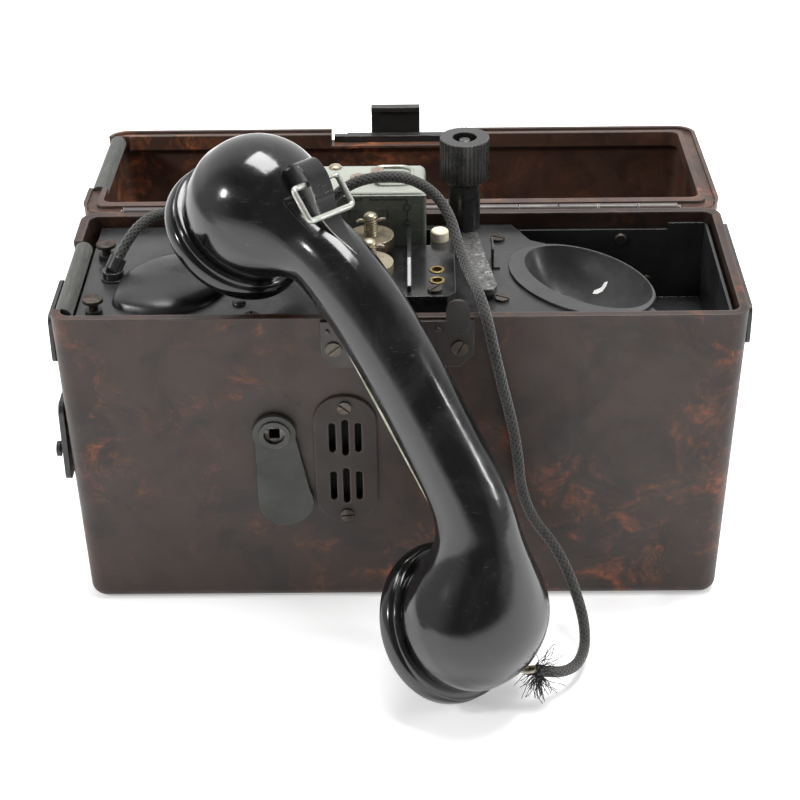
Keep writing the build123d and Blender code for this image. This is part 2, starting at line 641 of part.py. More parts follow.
with BuildPart() as hinge_pin:
    with BuildSketch(Plane(origin=(-120, HINGE_Y, HINGE_Z), x_dir=(0, 1, 0), z_dir=(1, 0, 0))):
        Circle(1.0)
    extrude(amount=240)
save(hinge_pin, "hinge_pin")

with BuildPart() as hinge_leaf_lid:
    for k in range(7):
        start = -102 + k * 34.0
        if start + 16.6 < 120:
            with BuildSketch(Plane(origin=(start, HINGE_Y, HINGE_Z), x_dir=(0, 1, 0), z_dir=(1, 0, 0))):
                Circle(1.9)
                with Locations((1.2, -1.0)):
                    Rectangle(2.0, 2.0, rotation=-LID_TILT)
            extrude(amount=16.6)
    with BuildSketch(lid_at(LID_NEAR - 0.55, -1.0)):
        Rectangle(238, 1.0)
    extrude(amount=-16)
    with BuildSketch(Plane(origin=(-125, HINGE_Y, HINGE_Z), x_dir=(0, 1, 0), z_dir=(1, 0, 0))):
        Circle(1.05)
    extrude(amount=250, mode=Mode.SUBTRACT)
save(hinge_leaf_lid, "hinge_leaf_lid")

# ------------------------------------------------------------ lid, open and lying rim up
lid_mid = LID_NEAR + LID_D / 2
LID_NOTCH = (-33.0, 32.4)
with BuildPart() as lid_shell:
    with BuildSketch(lid_at(lid_mid, 0)):
        RectangleRounded(LID_W, LID_D, 9)
    with BuildSketch(lid_at(lid_mid, -LID_H)):
        RectangleRounded(LID_W - 7, LID_D - 5, 9)
    loft()
    fillet(lid_shell.faces().sort_by(Axis.Z)[0].edges(), 6)
    with BuildSketch(lid_at(lid_mid, 0)):
        RectangleRounded(LID_W - 16.8, LID_D - 16.8, 4)
    extrude(amount=-7, mode=Mode.SUBTRACT)
    with BuildSketch(lid_at(lid_mid, -6.9)):
        RectangleRounded(LID_W - 9, LID_D - 9, 5)
    with BuildSketch(lid_at(lid_mid, -LID_H + 4)):
        RectangleRounded(LID_W - 16, LID_D - 14, 5)
    loft(mode=Mode.SUBTRACT)
    # channel that the case's rim enters, between an outer and an inner lip
    with BuildSketch(lid_at(LID_NEAR + CASE_D / 2, 0)):
        RectangleRounded(CASE_W + 0.5, CASE_D + 0.5, CORNER_R + 0.2)
        inner_w, inner_d = CASE_W - 2 * WALL - 0.5, CASE_D - 2 * WALL - 0.5
        RectangleRounded(inner_w, inner_d, CORNER_R - 3.3, mode=Mode.SUBTRACT)
    extrude(amount=-1.5, mode=Mode.SUBTRACT)
    with BuildSketch(lid_at(LID_NEAR + 1, 0)):
        Rectangle(CASE_W, 4)
    extrude(amount=-1.5, mode=Mode.SUBTRACT)
    # notch for the latch in the front wall, and the cable slot in the left wall
    with BuildSketch(lid_at(LID_NEAR + LID_D - 5, 0)):
        with Locations(((LID_NOTCH[0] + LID_NOTCH[1]) / 2, 0)):
            Rectangle(LID_NOTCH[1] - LID_NOTCH[0], 14)
    extrude(amount=-5.5, mode=Mode.SUBTRACT)
    with BuildSketch(lid_at(LID_NEAR + 57, 0)):
        with Locations((-LID_W / 2 + 2.5, 0)):
            Rectangle(14, 64)
    extrude(amount=-7.0, mode=Mode.SUBTRACT)
save(lid_shell, "lid_shell")

with BuildPart() as lid_pad_tube:
    tube_start = lid_plane.from_local_coords((-133.6, LID_NEAR + 25.3, -3.2))
    with BuildSketch(Plane(origin=tube_start, x_dir=(1, 0, 0), z_dir=lid_plane.y_dir)):
        Circle(3.6)
        Circle(1.5, mode=Mode.SUBTRACT)
    extrude(amount=63.4)
save(lid_pad_tube, "lid_pad_tube")

LATCH_X, LATCH_W = -2.75, 22.9
LATCH_Y = LID_NEAR + LID_D  # the lid's front wall, outside
with BuildPart() as latch_bracket:
    with BuildSketch(lid_at(LATCH_Y - 2.2, -5.4)):
        with Locations((LATCH_X, 0)):
            Rectangle(58, 3.4)
    extrude(amount=3.0)
    with BuildSketch(lid_at(LATCH_Y + 0.75, -2.6)):
        with Locations((LATCH_X, 0)):
            Rectangle(46, 1.3)
    extrude(amount=-16)
    for x in (LATCH_X - LATCH_W / 2 - 3.2, LATCH_X + LATCH_W / 2 + 3.2):
        with BuildSketch(lid_at(LATCH_Y + 3.2, -8.0)):
            with Locations((x, 0)):
                Rectangle(5, 4.4)
        extrude(amount=-6.5)
    pin_at = lid_plane.from_local_coords((LATCH_X - 30, LATCH_Y + 3.8, -11.2))
    with BuildSketch(Plane(origin=pin_at, x_dir=(0, 1, 0), z_dir=(1, 0, 0))):
        Circle(1.05)
    extrude(amount=60, mode=Mode.SUBTRACT)
save(latch_bracket, "latch_bracket")

with BuildPart() as latch_pin:
    pin_at = lid_plane.from_local_coords((LATCH_X - LATCH_W / 2 - 6.2, LATCH_Y + 3.8, -11.2))
    with BuildSketch(Plane(origin=pin_at, x_dir=(0, 1, 0), z_dir=(1, 0, 0))):
        Circle(1.0)
    extrude(amount=LATCH_W + 12.4)
save(latch_pin, "latch_pin")

with BuildPart() as latch_leaf:
    with BuildSketch(lid_at(LATCH_Y + 3.8, -13.2)):
        with Locations((LATCH_X, 0)):
            Rectangle(LATCH_W, 1.6)
    extrude(amount=23.4)
    barrel_at = lid_plane.from_local_coords((LATCH_X - LATCH_W / 2, LATCH_Y + 3.8, -11.2))
    with BuildSketch(Plane(origin=barrel_at, x_dir=(0, 1, 0), z_dir=(1, 0, 0))):
        Circle(2.0)
    extrude(amount=LATCH_W)
    # the turned-in lip that catches the strike plate
    with BuildSketch(lid_at(LATCH_Y + 2.2, 8.2)):
        with Locations((LATCH_X, 0)):
            Rectangle(LATCH_W, 4.8)
    extrude(amount=2.0)
    with BuildSketch(Plane(origin=barrel_at, x_dir=(0, 1, 0), z_dir=(1, 0, 0))):
        Circle(1.05)
    extrude(amount=LATCH_W, mode=Mode.SUBTRACT)
save(latch_leaf, "latch_leaf")

# ------------------------------------------------------------ the cord's route, gland to mouth end
CORD_ROUTE = (
    tuple(CORD_START), tuple(CORD_START + GLAND_DIR * 18), (-88, 24, 149), (-62, 27, 143), (-37, 4, 144),
    (-24, -1, 171), (2, 3, 174), (19, 4, 161), (25.5, -18, 143.5), (32, -51, 146), (38, -55, 118),
    (46, -53.5, 84), (49, -55, 52), (66, -64, 34), (76, -84, 7), (66, -108, 7), (52.5, -115, 17),
)
CORD_END_DIR = Vector(*CORD_ROUTE[-1]) - Vector(*CORD_ROUTE[-2])

# ------------------------------------------------------------ handset
ear_plane = grip_at(0, 0, -TOE_IN)
mouth_plane = grip_at(REACH, 0, TOE_IN)
GRIP_Z = 46.0  # the handle's middle, behind the line through the two caps
KEY_X, KEY_LENGTH, KEY_W, KEY_Z = 98.0, 74.0, 9.0, GRIP_Z - 17.4
with BuildPart() as handset_body:
    # handle: from one dome's back to the other's, bowed out behind the line between them
    stations = (
        (8, 24, 52, 14, 13), (27, 38, 26, 14, 14.5), (58, GRIP_Z, 5, 14, 16),
        (REACH / 2, GRIP_Z + 1, 0, 13.5, 15), (REACH - 40, GRIP_Z, -6, 13.5, 14.5),
        (REACH - 18, 38, -32, 14, 14), (REACH - 2, 22, -60, 14, 13.5),
    )
    for x, z, climb, wide, deep in stations:
        middle = grip_plane.from_local_coords((x, 0, z))
        run = ALONG * cos(radians(climb)) + BACK * sin(radians(climb))
        with BuildSketch(Plane(origin=middle, x_dir=grip_plane.y_dir, z_dir=run)):
            Ellipse(wide, deep)
    loft()
    for plane, r, middle in ((ear_plane, EAR_DOME, 19.0), (mouth_plane, MOUTH_DOME, 14.0)):
        with Locations(plane.offset(middle)):
            Sphere(r)
        with BuildSketch(plane.offset(4.1)):
            Circle(r * 0.9)
        extrude(amount=middle - 4)
        with BuildSketch(plane.offset(4.1)):
            Circle(60)
        extrude(amount=-40, mode=Mode.SUBTRACT)
    for plane, r in ((ear_plane, 21.6), (mouth_plane, 22.6)):
        with BuildSketch(plane.offset(4.0)):
            Circle(r)
        extrude(amount=12, mode=Mode.SUBTRACT)
    with BuildSketch(grip_at(KEY_X, KEY_Z - 2)):
        SlotOverall(KEY_LENGTH + 0.7, KEY_W + 0.7)
    extrude(amount=8.2, mode=Mode.SUBTRACT)
    with BuildSketch(Plane(origin=CORD_ROUTE[-1], z_dir=CORD_END_DIR)):
        Circle(3.65)
    extrude(amount=10.1, mode=Mode.SUBTRACT)
save(handset_body, "handset_body")

for label, plane, r, hole in (("ear_cap", ear_plane, EAR_R, 5.0), ("mouth_cap", mouth_plane, MOUTH_R, 9.0)):
    with BuildPart() as cap:
        with BuildSketch(plane.offset(-7.5)):
            Circle(r - 3)
        with BuildSketch(plane.offset(-4.5)):
            Circle(r)
        loft()
        with BuildSketch(plane.offset(-4.5)):
            Circle(r)
        extrude(amount=8.5)
        with BuildSketch(plane.offset(-4.5)):
            Circle(r - 5)
        extrude(amount=10, mode=Mode.SUBTRACT)
        with BuildSketch(plane.offset(-8)):
            Circle(hole)
        extrude(amount=4, mode=Mode.SUBTRACT)
    save(cap, label)

for label, plane, r in (("receiver_capsule", ear_plane, 21.5), ("microphone_capsule", mouth_plane, 22.5)):
    with BuildPart() as capsule:
        with BuildSketch(plane.offset(-3.5)):
            Circle(r)
        extrude(amount=16)
    save(capsule, label)

with BuildPart() as talk_key:
    with BuildSketch(grip_at(KEY_X, KEY_Z)):
        SlotOverall(KEY_LENGTH, KEY_W)
    extrude(amount=4.0)
save(talk_key, "talk_key")

LUG_X, LUG_Z = 4.0, 46.0
with BuildPart() as handset_lug:
    with BuildSketch(grip_at(LUG_X, LUG_Z)):
        with Locations((-6, 0)):
            Rectangle(20, 14)
    extrude(amount=13.0)
    with BuildSketch(grip_at(LUG_X, LUG_Z - 3)):
        with Locations((15.5, 0)):
            Rectangle(27, 12)
    extrude(amount=8.5)
    eye = grip_plane.from_local_coords((LUG_X, -15, LUG_Z + 8))
    with BuildSketch(Plane(origin=eye, x_dir=ALONG, z_dir=grip_plane.y_dir)):
        Circle(1.28)
    extrude(amount=30, mode=Mode.SUBTRACT)
    add(handset_body.part, mode=Mode.SUBTRACT)
save(handset_lug, "handset_lug")

with BuildPart() as handset_ring:
    ring_plane = grip_at(LUG_X, LUG_Z + 8)
    with BuildLine(ring_plane):
        FilletPolyline((0, 0), (0, 12), (18, 12), (18, -12), (0, -12), (0, 0.001), radius=(3, 6, 6, 3))
    with BuildSketch(Plane(origin=ring_plane.origin, x_dir=ALONG, z_dir=grip_plane.y_dir)):
        Circle(1.2)
    sweep()
save(handset_ring, "handset_ring")

# ------------------------------------------------------------ cord, from the deck's gland to the mouth end
def bend_radii(route):
    """For each inner corner of a route, the radius whose arc takes 0.45 of the shorter run beside it."""
    radii = []
    for before, here, after in zip(route, route[1:], route[2:]):
        run_in, run_out = Vector(*here) - Vector(*before), Vector(*after) - Vector(*here)
        turn = radians(run_in.get_angle(run_out))
        radii.append(0.45 * min(run_in.length, run_out.length) / tan(turn / 2))
    return radii


cord_radii = bend_radii(CORD_ROUTE)
with BuildPart() as handset_cord:
    with BuildLine() as cord_line:
        FilletPolyline(*CORD_ROUTE, radius=cord_radii)
    with BuildSketch(Plane(origin=CORD_ROUTE[0], z_dir=cord_line.line % 0)):
        Circle(CORD_D / 2)
    sweep()
cord_length = sum(edge.length for edge in cord_line.line.edges())
print("cord: length", round(cord_length, 1), "radii", [round(r, 1) for r in cord_radii])
section = pi * CORD_D**2 / 4
print("cord: volume", round(handset_cord.part.volume), "section by length", round(section * cord_length))
save(handset_cord, "handset_cord")

with BuildPart() as cord_entry:
    with BuildSketch(Plane(origin=CORD_ROUTE[-1], z_dir=CORD_END_DIR)):
        Circle(3.6)
    extrude(amount=10)
save(cord_entry, "cord_entry")
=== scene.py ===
"""Looks of the portable field telephone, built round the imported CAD.

Materials for every node, the smooth handset, the braided cord and the small fittings. Shapes are given in
millimetres and built in metres; +Z is up and the front of the case faces -Y.
"""

import math
import random

import bmesh
import bpy
import numpy as np
from mathutils import Matrix, Vector


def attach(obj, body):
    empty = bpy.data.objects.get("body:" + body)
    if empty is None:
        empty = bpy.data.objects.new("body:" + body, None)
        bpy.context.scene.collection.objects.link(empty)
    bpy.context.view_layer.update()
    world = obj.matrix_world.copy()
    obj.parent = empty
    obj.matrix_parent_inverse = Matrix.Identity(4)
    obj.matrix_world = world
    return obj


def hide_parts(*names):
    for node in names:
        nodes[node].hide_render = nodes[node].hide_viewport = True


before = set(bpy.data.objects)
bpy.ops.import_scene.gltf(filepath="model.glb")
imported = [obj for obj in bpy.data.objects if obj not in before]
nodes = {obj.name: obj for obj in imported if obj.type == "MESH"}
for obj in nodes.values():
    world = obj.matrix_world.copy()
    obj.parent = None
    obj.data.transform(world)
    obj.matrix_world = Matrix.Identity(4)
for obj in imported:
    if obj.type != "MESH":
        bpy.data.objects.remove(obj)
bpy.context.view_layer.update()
scene = bpy.context.scene
scene.view_settings.view_transform = "Standard"
MM = 0.001

# ---------------------------------------------------------------- camera
CAMERA_PLACE = Vector((8.085, -704.646, 498.060)) * MM
CAMERA_YAW, CAMERA_PITCH, CAMERA_ROLL = (math.radians(a) for a in (-0.7106, 31.2837, -0.8162))
camera = bpy.data.objects.new("camera", bpy.data.cameras.new("camera"))
scene.collection.objects.link(camera)
camera.data.lens = 87.41
camera.data.clip_start = 0.01
look = Vector((
    math.sin(CAMERA_YAW) * math.cos(CAMERA_PITCH), math.cos(CAMERA_YAW) * math.cos(CAMERA_PITCH),
    -math.sin(CAMERA_PITCH),
))
level = Vector((math.cos(CAMERA_YAW), -math.sin(CAMERA_YAW), 0))
up = level.cross(look)
side = math.cos(CAMERA_ROLL) * level + math.sin(CAMERA_ROLL) * up
facing = Matrix((side, side.cross(look), -look)).transposed().to_4x4()
camera.matrix_world = Matrix.Translation(CAMERA_PLACE) @ facing
scene.camera = camera


# ---------------------------------------------------------------- material building
class Nodes:
    """A node tree under construction: each call adds a node and gives back its output socket."""

    def __init__(self, tree):
        self.tree = tree
        self.place = self.add("ShaderNodeTexCoord").outputs["Object"]

    def add(self, kind, values=None, **settings):
        node = self.tree.nodes.new(kind)
        for key, value in settings.items():
            setattr(node, key, value)
        for key, value in (values or {}).items():
            self.put(node.inputs[key], value)
        return node

    def put(self, socket, value):
        if isinstance(value, bpy.types.NodeSocket):
            self.tree.links.new(value, socket)
        elif hasattr(value, "__len__") and len(value) == 3 and len(socket.default_value) == 4:
            socket.default_value = (*value, 1)
        else:
            socket.default_value = value

    def noise(self, scale, detail=4, rough=0.55, distort=0.0, at=None):
        values = {"Vector": at or self.place, "Scale": scale, "Detail": detail}
        values |= {"Roughness": rough, "Distortion": distort}
        return self.add("ShaderNodeTexNoise", values).outputs["Fac"]

    def stretched(self, scale, at=None):
        return self.add("ShaderNodeMapping", {"Vector": at or self.place, "Scale": scale}).outputs["Vector"]

    def step(self, value, low, high, to_low=0.0, to_high=1.0):
        values = {"Value": value, "From Min": low, "From Max": high, "To Min": to_low, "To Max": to_high}
        return self.add("ShaderNodeMapRange", values, interpolation_type="SMOOTHSTEP").outputs["Result"]

    def math(self, operation, a, b=0.0):
        return self.add("ShaderNodeMath", {0: a, 1: b}, operation=operation).outputs[0]

    def mix(self, share, a, b):
        node = self.add("ShaderNodeMix", data_type="RGBA")
        for index, value in ((0, share), (6, a), (7, b)):
            self.put(node.inputs[index], value)
        return node.outputs[2]

    def axis(self, name, at=None):
        return self.add("ShaderNodeSeparateXYZ", {"Vector": at or self.place}).outputs[name]

    def bump(self, height, depth, strength=1.0, over=None):
        node = self.add("ShaderNodeBump", {"Height": height, "Distance": depth, "Strength": strength})
        if over is not None:
            self.put(node.inputs["Normal"], over)
        return node.outputs["Normal"]

    def rounded(self, radius):
        return self.add("ShaderNodeBevel", {"Radius": radius}, samples=6).outputs["Normal"]

    def edges(self, radius, low=0.002, high=0.10):
        """Near 1 where a sharp edge is within radius, 0 on flat or gently curved faces."""
        flat = self.add("ShaderNodeNewGeometry").outputs["Normal"]
        dot = self.add("ShaderNodeVectorMath", {0: self.rounded(radius), 1: flat}, operation="DOT_PRODUCT")
        return self.step(self.math("SUBTRACT", 1.0, dot.outputs["Value"]), low, high)


class Surface(Nodes):
    """One of the procedural materials, ending in a Principled shader."""

    def __init__(self, name):
        self.material = bpy.data.materials.new(name)
        self.material.use_nodes = True
        super().__init__(self.material.node_tree)
        self.shader = self.tree.nodes["Principled BSDF"]

    def finish(self, color, rough, normal=None, **sockets):
        self.put(self.shader.inputs["Base Color"], color)
        self.put(self.shader.inputs["Roughness"], rough)
        if normal is not None:
            self.put(self.shader.inputs["Normal"], normal)
        for name, value in sockets.items():
            self.put(self.shader.inputs[name.replace("_", " ")], value)
        return self.material


def mottled_resin(name, base, dark, spots, amount, rim, gloss):
    """Wood-flour filled resin: cloudy brown with red-orange flecks, rubbed paler along its edges."""
    s = Surface(name)
    drift = s.add("ShaderNodeTexNoise", {"Vector": s.place, "Scale": 22.0, "Detail": 3.0}).outputs["Color"]
    pull = s.add("ShaderNodeVectorMath", {0: drift, "Scale": 0.03}, operation="SCALE").outputs["Vector"]
    warped = s.add("ShaderNodeVectorMath", {0: s.place, 1: pull}, operation="ADD").outputs["Vector"]
    region = s.step(s.noise(13, 3, 0.55), 0.42, 0.62)
    cloud = s.step(s.noise(62, 9, 0.72, 0.5, at=warped), 0.47, 0.66)
    fleck = s.step(s.noise(260, 5, 0.7, 0.8, at=warped), 0.42, 0.68)
    deep = s.step(s.noise(38, 6, 0.6, 0.6, at=warped), 0.45, 0.62)
    body = s.mix(s.math("MULTIPLY", deep, 0.85), base, dark)
    patch = s.math("MULTIPLY", cloud, s.step(region, 0, 1, 0.12, 1.0))
    patch = s.math("MULTIPLY", patch, s.step(fleck, 0, 1, 0.35, 1.0))
    color = s.mix(s.math("MULTIPLY", patch, amount), body, spots)
    scratch = s.step(s.noise(160, 3, 0.6, at=s.stretched((0.25, 1, 9))), 0.70, 0.80)
    dust = s.step(s.noise(9, 5, 0.65), 0.35, 0.75)
    color = s.mix(s.math("MULTIPLY", scratch, 0.10), color, (0.14, 0.105, 0.085))
    color = s.mix(s.math("MULTIPLY", dust, 0.10), color, (0.11, 0.09, 0.078))
    worn = s.math("MULTIPLY", s.edges(0.0016), s.step(s.noise(140, 4, 0.7), 0.30, 0.62, 0.25, 0.9))
    color = s.mix(worn, color, rim)
    rough = s.step(s.noise(60, 6, 0.7), 0.3, 0.7, gloss, gloss + 0.14)
    grain = s.bump(s.noise(900, 3, 0.6), 0.00004, 0.5, over=s.rounded(0.0009))
    normal = s.bump(s.noise(16, 3, 0.5), 0.0006, 0.35, over=grain)
    return s.finish(color, rough, normal, Specular_IOR_Level=0.38)


def black_gloss(name, color, gloss, haze, edge_color, edge_share):
    """Polished black moulding with handling marks, fine scratches and dulled edges."""
    s = Surface(name)
    smear = s.step(s.noise(30, 6, 0.7, 1.2), 0.42, 0.75)
    hair = s.step(s.noise(240, 2, 0.5, at=s.stretched((1, 0.12, 6))), 0.66, 0.74)
    dust = s.step(s.noise(1500, 2, 0.5), 0.70, 0.78)
    tint = s.mix(s.math("MULTIPLY", smear, haze), color, (0.07, 0.068, 0.066))
    tint = s.mix(s.math("MULTIPLY", dust, 0.22), tint, (0.22, 0.21, 0.20))
    tint = s.mix(s.math("MULTIPLY", hair, 0.10), tint, (0.16, 0.155, 0.15))
    worn = s.math("MULTIPLY", s.edges(0.0009), s.step(s.noise(220, 4, 0.7), 0.40, 0.66, 0, edge_share))
    tint = s.mix(worn, tint, edge_color)
    rough = s.math("ADD", s.step(smear, 0, 1, gloss, gloss + 0.16), s.math("MULTIPLY", hair, 0.1))
    fine = s.bump(s.noise(1100, 2, 0.5), 0.00002, 0.25, over=s.rounded(0.0007))
    normal = s.bump(s.noise(45, 2, 0.5), 0.00025, 0.25, over=fine)
    return s.finish(tint, rough, normal, Coat_Weight=0.15, Coat_Roughness=0.08)


def satin_black(name, color, bare, wear, rough_low=0.36):
    """Stove enamel on sheet metal, chipped to bare metal along edges and in small spots."""
    s = Surface(name)
    cloud = s.noise(28, 5, 0.65, 0.6)
    tint = s.mix(s.step(cloud, 0.35, 0.7), color, tuple(c * 1.9 + 0.004 for c in color))
    chips = s.math("MAXIMUM", s.edges(0.0007, 0.01, 0.16), s.step(s.noise(330, 4, 0.7), 0.735, 0.76))
    chips = s.math("MULTIPLY", chips, s.step(s.noise(120, 5, 0.75), 0.47, 0.60, 0, wear))
    dust = s.step(s.noise(1300, 2, 0.5), 0.70, 0.80)
    tint = s.mix(s.math("MULTIPLY", dust, 0.25), tint, (0.20, 0.19, 0.175))
    tint = s.mix(chips, tint, bare)
    rough = s.step(s.noise(90, 5, 0.7), 0.3, 0.75, rough_low, rough_low + 0.2)
    orange_peel = s.bump(s.noise(700, 2, 0.5), 0.00003, 0.4, over=s.rounded(0.0005))
    return s.finish(tint, rough, orange_peel, Metallic=s.math("MULTIPLY", chips, 0.8))


def worn_metal(name, color, stain, rust, rust_share, rough_low, scale=90):
    """Bare or thinly plated metal with tarnish, rust freckles and rubbed edges."""
    s = Surface(name)
    tarnish = s.step(s.noise(scale, 6, 0.7, 0.8), 0.36, 0.66)
    tint = s.mix(tarnish, color, stain)
    spots = s.math("MULTIPLY", s.step(s.noise(scale * 3.1, 6, 0.75, 0.5), 0.52, 0.66), rust_share)
    tint = s.mix(spots, tint, rust)
    bright = s.math("MULTIPLY", s.edges(0.0005, 0.01, 0.2), s.step(s.noise(300, 3), 0.35, 0.6, 0.1, 0.7))
    tint = s.mix(bright, tint, tuple(min(1.0, c * 1.5) for c in color))
    rough = s.step(tarnish, 0, 1, rough_low, rough_low + 0.22)
    rough = s.math("ADD", rough, s.math("MULTIPLY", spots, 0.3))
    pits = s.bump(s.noise(scale * 7, 4, 0.7), 0.00008, 0.45, over=s.rounded(0.0004))
    return s.finish(tint, rough, pits, Metallic=s.step(spots, 0, 1, 0.92, 0.1))


def flaked_arm():
    """The crank's arm: black enamel gone in scales from bright zinc, most of all at its free end."""
    s = Surface("crank arm")
    toward_end = s.step(s.axis("Y"), 0.020, -0.020)
    scales = s.noise(330, 5, 0.72, 1.4)
    bare = s.step(s.math("ADD", scales, s.math("MULTIPLY", toward_end, 0.09)), 0.44, 0.60)
    grime = s.step(s.noise(140, 5, 0.7, 0.5), 0.35, 0.65)
    dull = s.mix(grime, (0.030, 0.029, 0.027), (0.115, 0.112, 0.102))
    silver = s.mix(s.step(scales, 0.5, 0.72), (0.13, 0.13, 0.127), (0.62, 0.62, 0.62))
    tint = s.mix(s.math("MULTIPLY", bare, s.step(toward_end, 0, 1, 0.55, 1.0)), dull, silver)
    dark = s.step(s.noise(420, 5, 0.8, 0.6), 0.56, 0.64)
    tint = s.mix(s.math("MULTIPLY", dark, 0.75), tint, (0.025, 0.024, 0.023))
    normal = s.bump(scales, 0.0006, 0.8, over=s.rounded(0.0006))
    return s.finish(tint, s.step(bare, 0, 1, 0.62, 0.32), normal, Metallic=s.math("MULTIPLY", bare, 0.8))


def chalky_paint_top_lit():
    """Grey-green tin paint, scuffed, with patches of brown grime, and painted light on faces that point up.
    """
    s = Surface("tin paint")
    cloud = s.step(s.noise(70, 6, 0.7, 0.5), 0.35, 0.68)
    tint = s.mix(cloud, (0.082, 0.092, 0.076), (0.125, 0.136, 0.114))
    scuff = s.step(s.noise(420, 3, 0.6, at=s.stretched((0.5, 1, 4))), 0.62, 0.72)
    tint = s.mix(s.math("MULTIPLY", scuff, 0.35), tint, (0.44, 0.45, 0.41))
    grime = s.step(s.noise(160, 6, 0.75, 0.6), 0.60, 0.74)
    tint = s.mix(s.math("MULTIPLY", grime, 0.55), tint, (0.09, 0.085, 0.065))
    chips = s.math("MULTIPLY", s.edges(0.0009), s.step(s.noise(260, 4, 0.7), 0.42, 0.62, 0, 0.8))
    tint = s.mix(chips, tint, (0.48, 0.49, 0.46))
    # painted light: faces that point up are mixed toward a pale tone, as if lit from above
    facing = s.axis("Z", s.add("ShaderNodeNewGeometry").outputs["True Normal"])
    tint = s.mix(s.step(facing, 0.4, 0.8, 0.0, 0.4), tint, (0.58, 0.60, 0.53))
    normal = s.bump(s.noise(650, 3, 0.6), 0.00004, 0.5, over=s.rounded(0.0012))
    return s.finish(tint, s.step(cloud, 0, 1, 0.42, 0.6), normal, Specular_IOR_Level=0.4)


def old_rubber():
    """Perished grey-green rubber tube: dusty, with fine lengthwise cracks."""
    s = Surface("rubber")
    cloud = s.step(s.noise(60, 6, 0.7), 0.32, 0.7)
    tint = s.mix(cloud, (0.027, 0.028, 0.024), (0.054, 0.055, 0.047))
    streak = s.step(s.noise(190, 4, 0.7, at=s.stretched((3, 0.35, 3))), 0.50, 0.66)
    tint = s.mix(s.math("MULTIPLY", streak, 0.5), tint, (0.105, 0.105, 0.092))
    crack = s.step(s.noise(520, 3, 0.6, at=s.stretched((3, 0.5, 3))), 0.62, 0.70)
    tint = s.mix(s.math("MULTIPLY", crack, 0.6), tint, (0.022, 0.022, 0.02))
    normal = s.bump(crack, -0.0002, 0.5, over=s.bump(s.noise(1200, 2), 0.00005, 0.4))
    return s.finish(tint, s.step(cloud, 0, 1, 0.72, 0.9), normal, Sheen_Weight=0.15, Sheen_Roughness=0.5)


def yellowed_ivory():
    s = Surface("ivory")
    cloud = s.step(s.noise(160, 5, 0.65), 0.32, 0.7)
    tint = s.mix(cloud, (0.66, 0.60, 0.40), (0.80, 0.77, 0.60))
    stain = s.step(s.noise(420, 5, 0.7), 0.58, 0.74)
    tint = s.mix(s.math("MULTIPLY", stain, 0.5), tint, (0.42, 0.33, 0.18))
    normal = s.bump(s.noise(900, 3), 0.00003, 0.4, over=s.rounded(0.0006))
    rough = s.step(cloud, 0, 1, 0.32, 0.5)
    return s.finish(tint, rough, normal, Subsurface_Weight=0.1, Subsurface_Scale=0.002)


def plain_parts(name, low, high, rough, metal, scale=120):
    """A works finish for parts under the deck: two tones in a fine cloud, with grain."""
    s = Surface(name)
    cloud = s.step(s.noise(scale, 6, 0.7), 0.35, 0.68)
    normal = s.bump(s.noise(scale * 8, 3), 0.00005, 0.4, over=s.rounded(0.0005))
    tint = s.mix(cloud, low, high)
    return s.finish(tint, s.step(cloud, 0, 1, rough, rough + 0.15), normal, Metallic=metal)


def wound_wire():
    s = Surface("wound wire")
    turns = s.math("SINE", s.math("MULTIPLY", s.axis("Y"), 7000.0))
    tint = s.mix(s.step(turns, -1, 1), (0.12, 0.035, 0.012), (0.42, 0.16, 0.06))
    rough = s.step(s.noise(200), 0.3, 0.7, 0.3, 0.45)
    return s.finish(tint, rough, s.bump(turns, 0.0001, 0.6), Metallic=0.4)


def braided(name, low, high):
    """Diamond braid: two sets of yarns winding opposite ways round the cord, from the curve's own UV."""
    s = Surface(name)
    uv = s.add("ShaderNodeTexCoord").outputs["UV"]
    along = s.math("MULTIPLY", s.axis("X", uv), CORD_LENGTH / 0.0012 * math.pi)
    around = s.math("MULTIPLY", s.axis("Y", uv), 14 * math.pi)
    one = s.math("SINE", s.math("ADD", along, around))
    two = s.math("SINE", s.math("SUBTRACT", along, around))
    weave = s.math("MAXIMUM", one, two)
    worn = s.step(s.noise(120, 6, 0.75, 0.5), 0.38, 0.7)
    yarn = s.mix(s.step(weave, 0.1, 1.0), low, high)
    tint = s.mix(s.math("MULTIPLY", worn, 0.4), yarn, tuple(c * 1.6 for c in high))
    fibre = s.noise(3500, 2, 0.6)
    normal = s.bump(weave, 0.00022, 0.7, over=s.bump(fibre, 0.0001, 0.6))
    rough = s.step(fibre, 0.3, 0.7, 0.78, 0.95)
    return s.finish(tint, rough, normal, Sheen_Weight=0.35, Sheen_Roughness=0.4)


# the cord's route, gland to mouth end, in millimetres
CORD_ROUTE = (
    (-114.15, -0.71, 139.04), (-106.76, 8.09, 152.36), (-88, 24, 149), (-62, 27, 143), (-37, 4, 144),
    (-24, -1, 171), (2, 3, 174), (19, 4, 161), (25.5, -18, 143.5), (32, -51, 146), (38, -55, 118),
    (46, -53.5, 84), (49, -55, 52), (66, -64, 34), (76, -84, 7), (66, -108, 7), (52.5, -115, 17),
)
CORD_D = 4.4
CORD_LENGTH = 0.4233

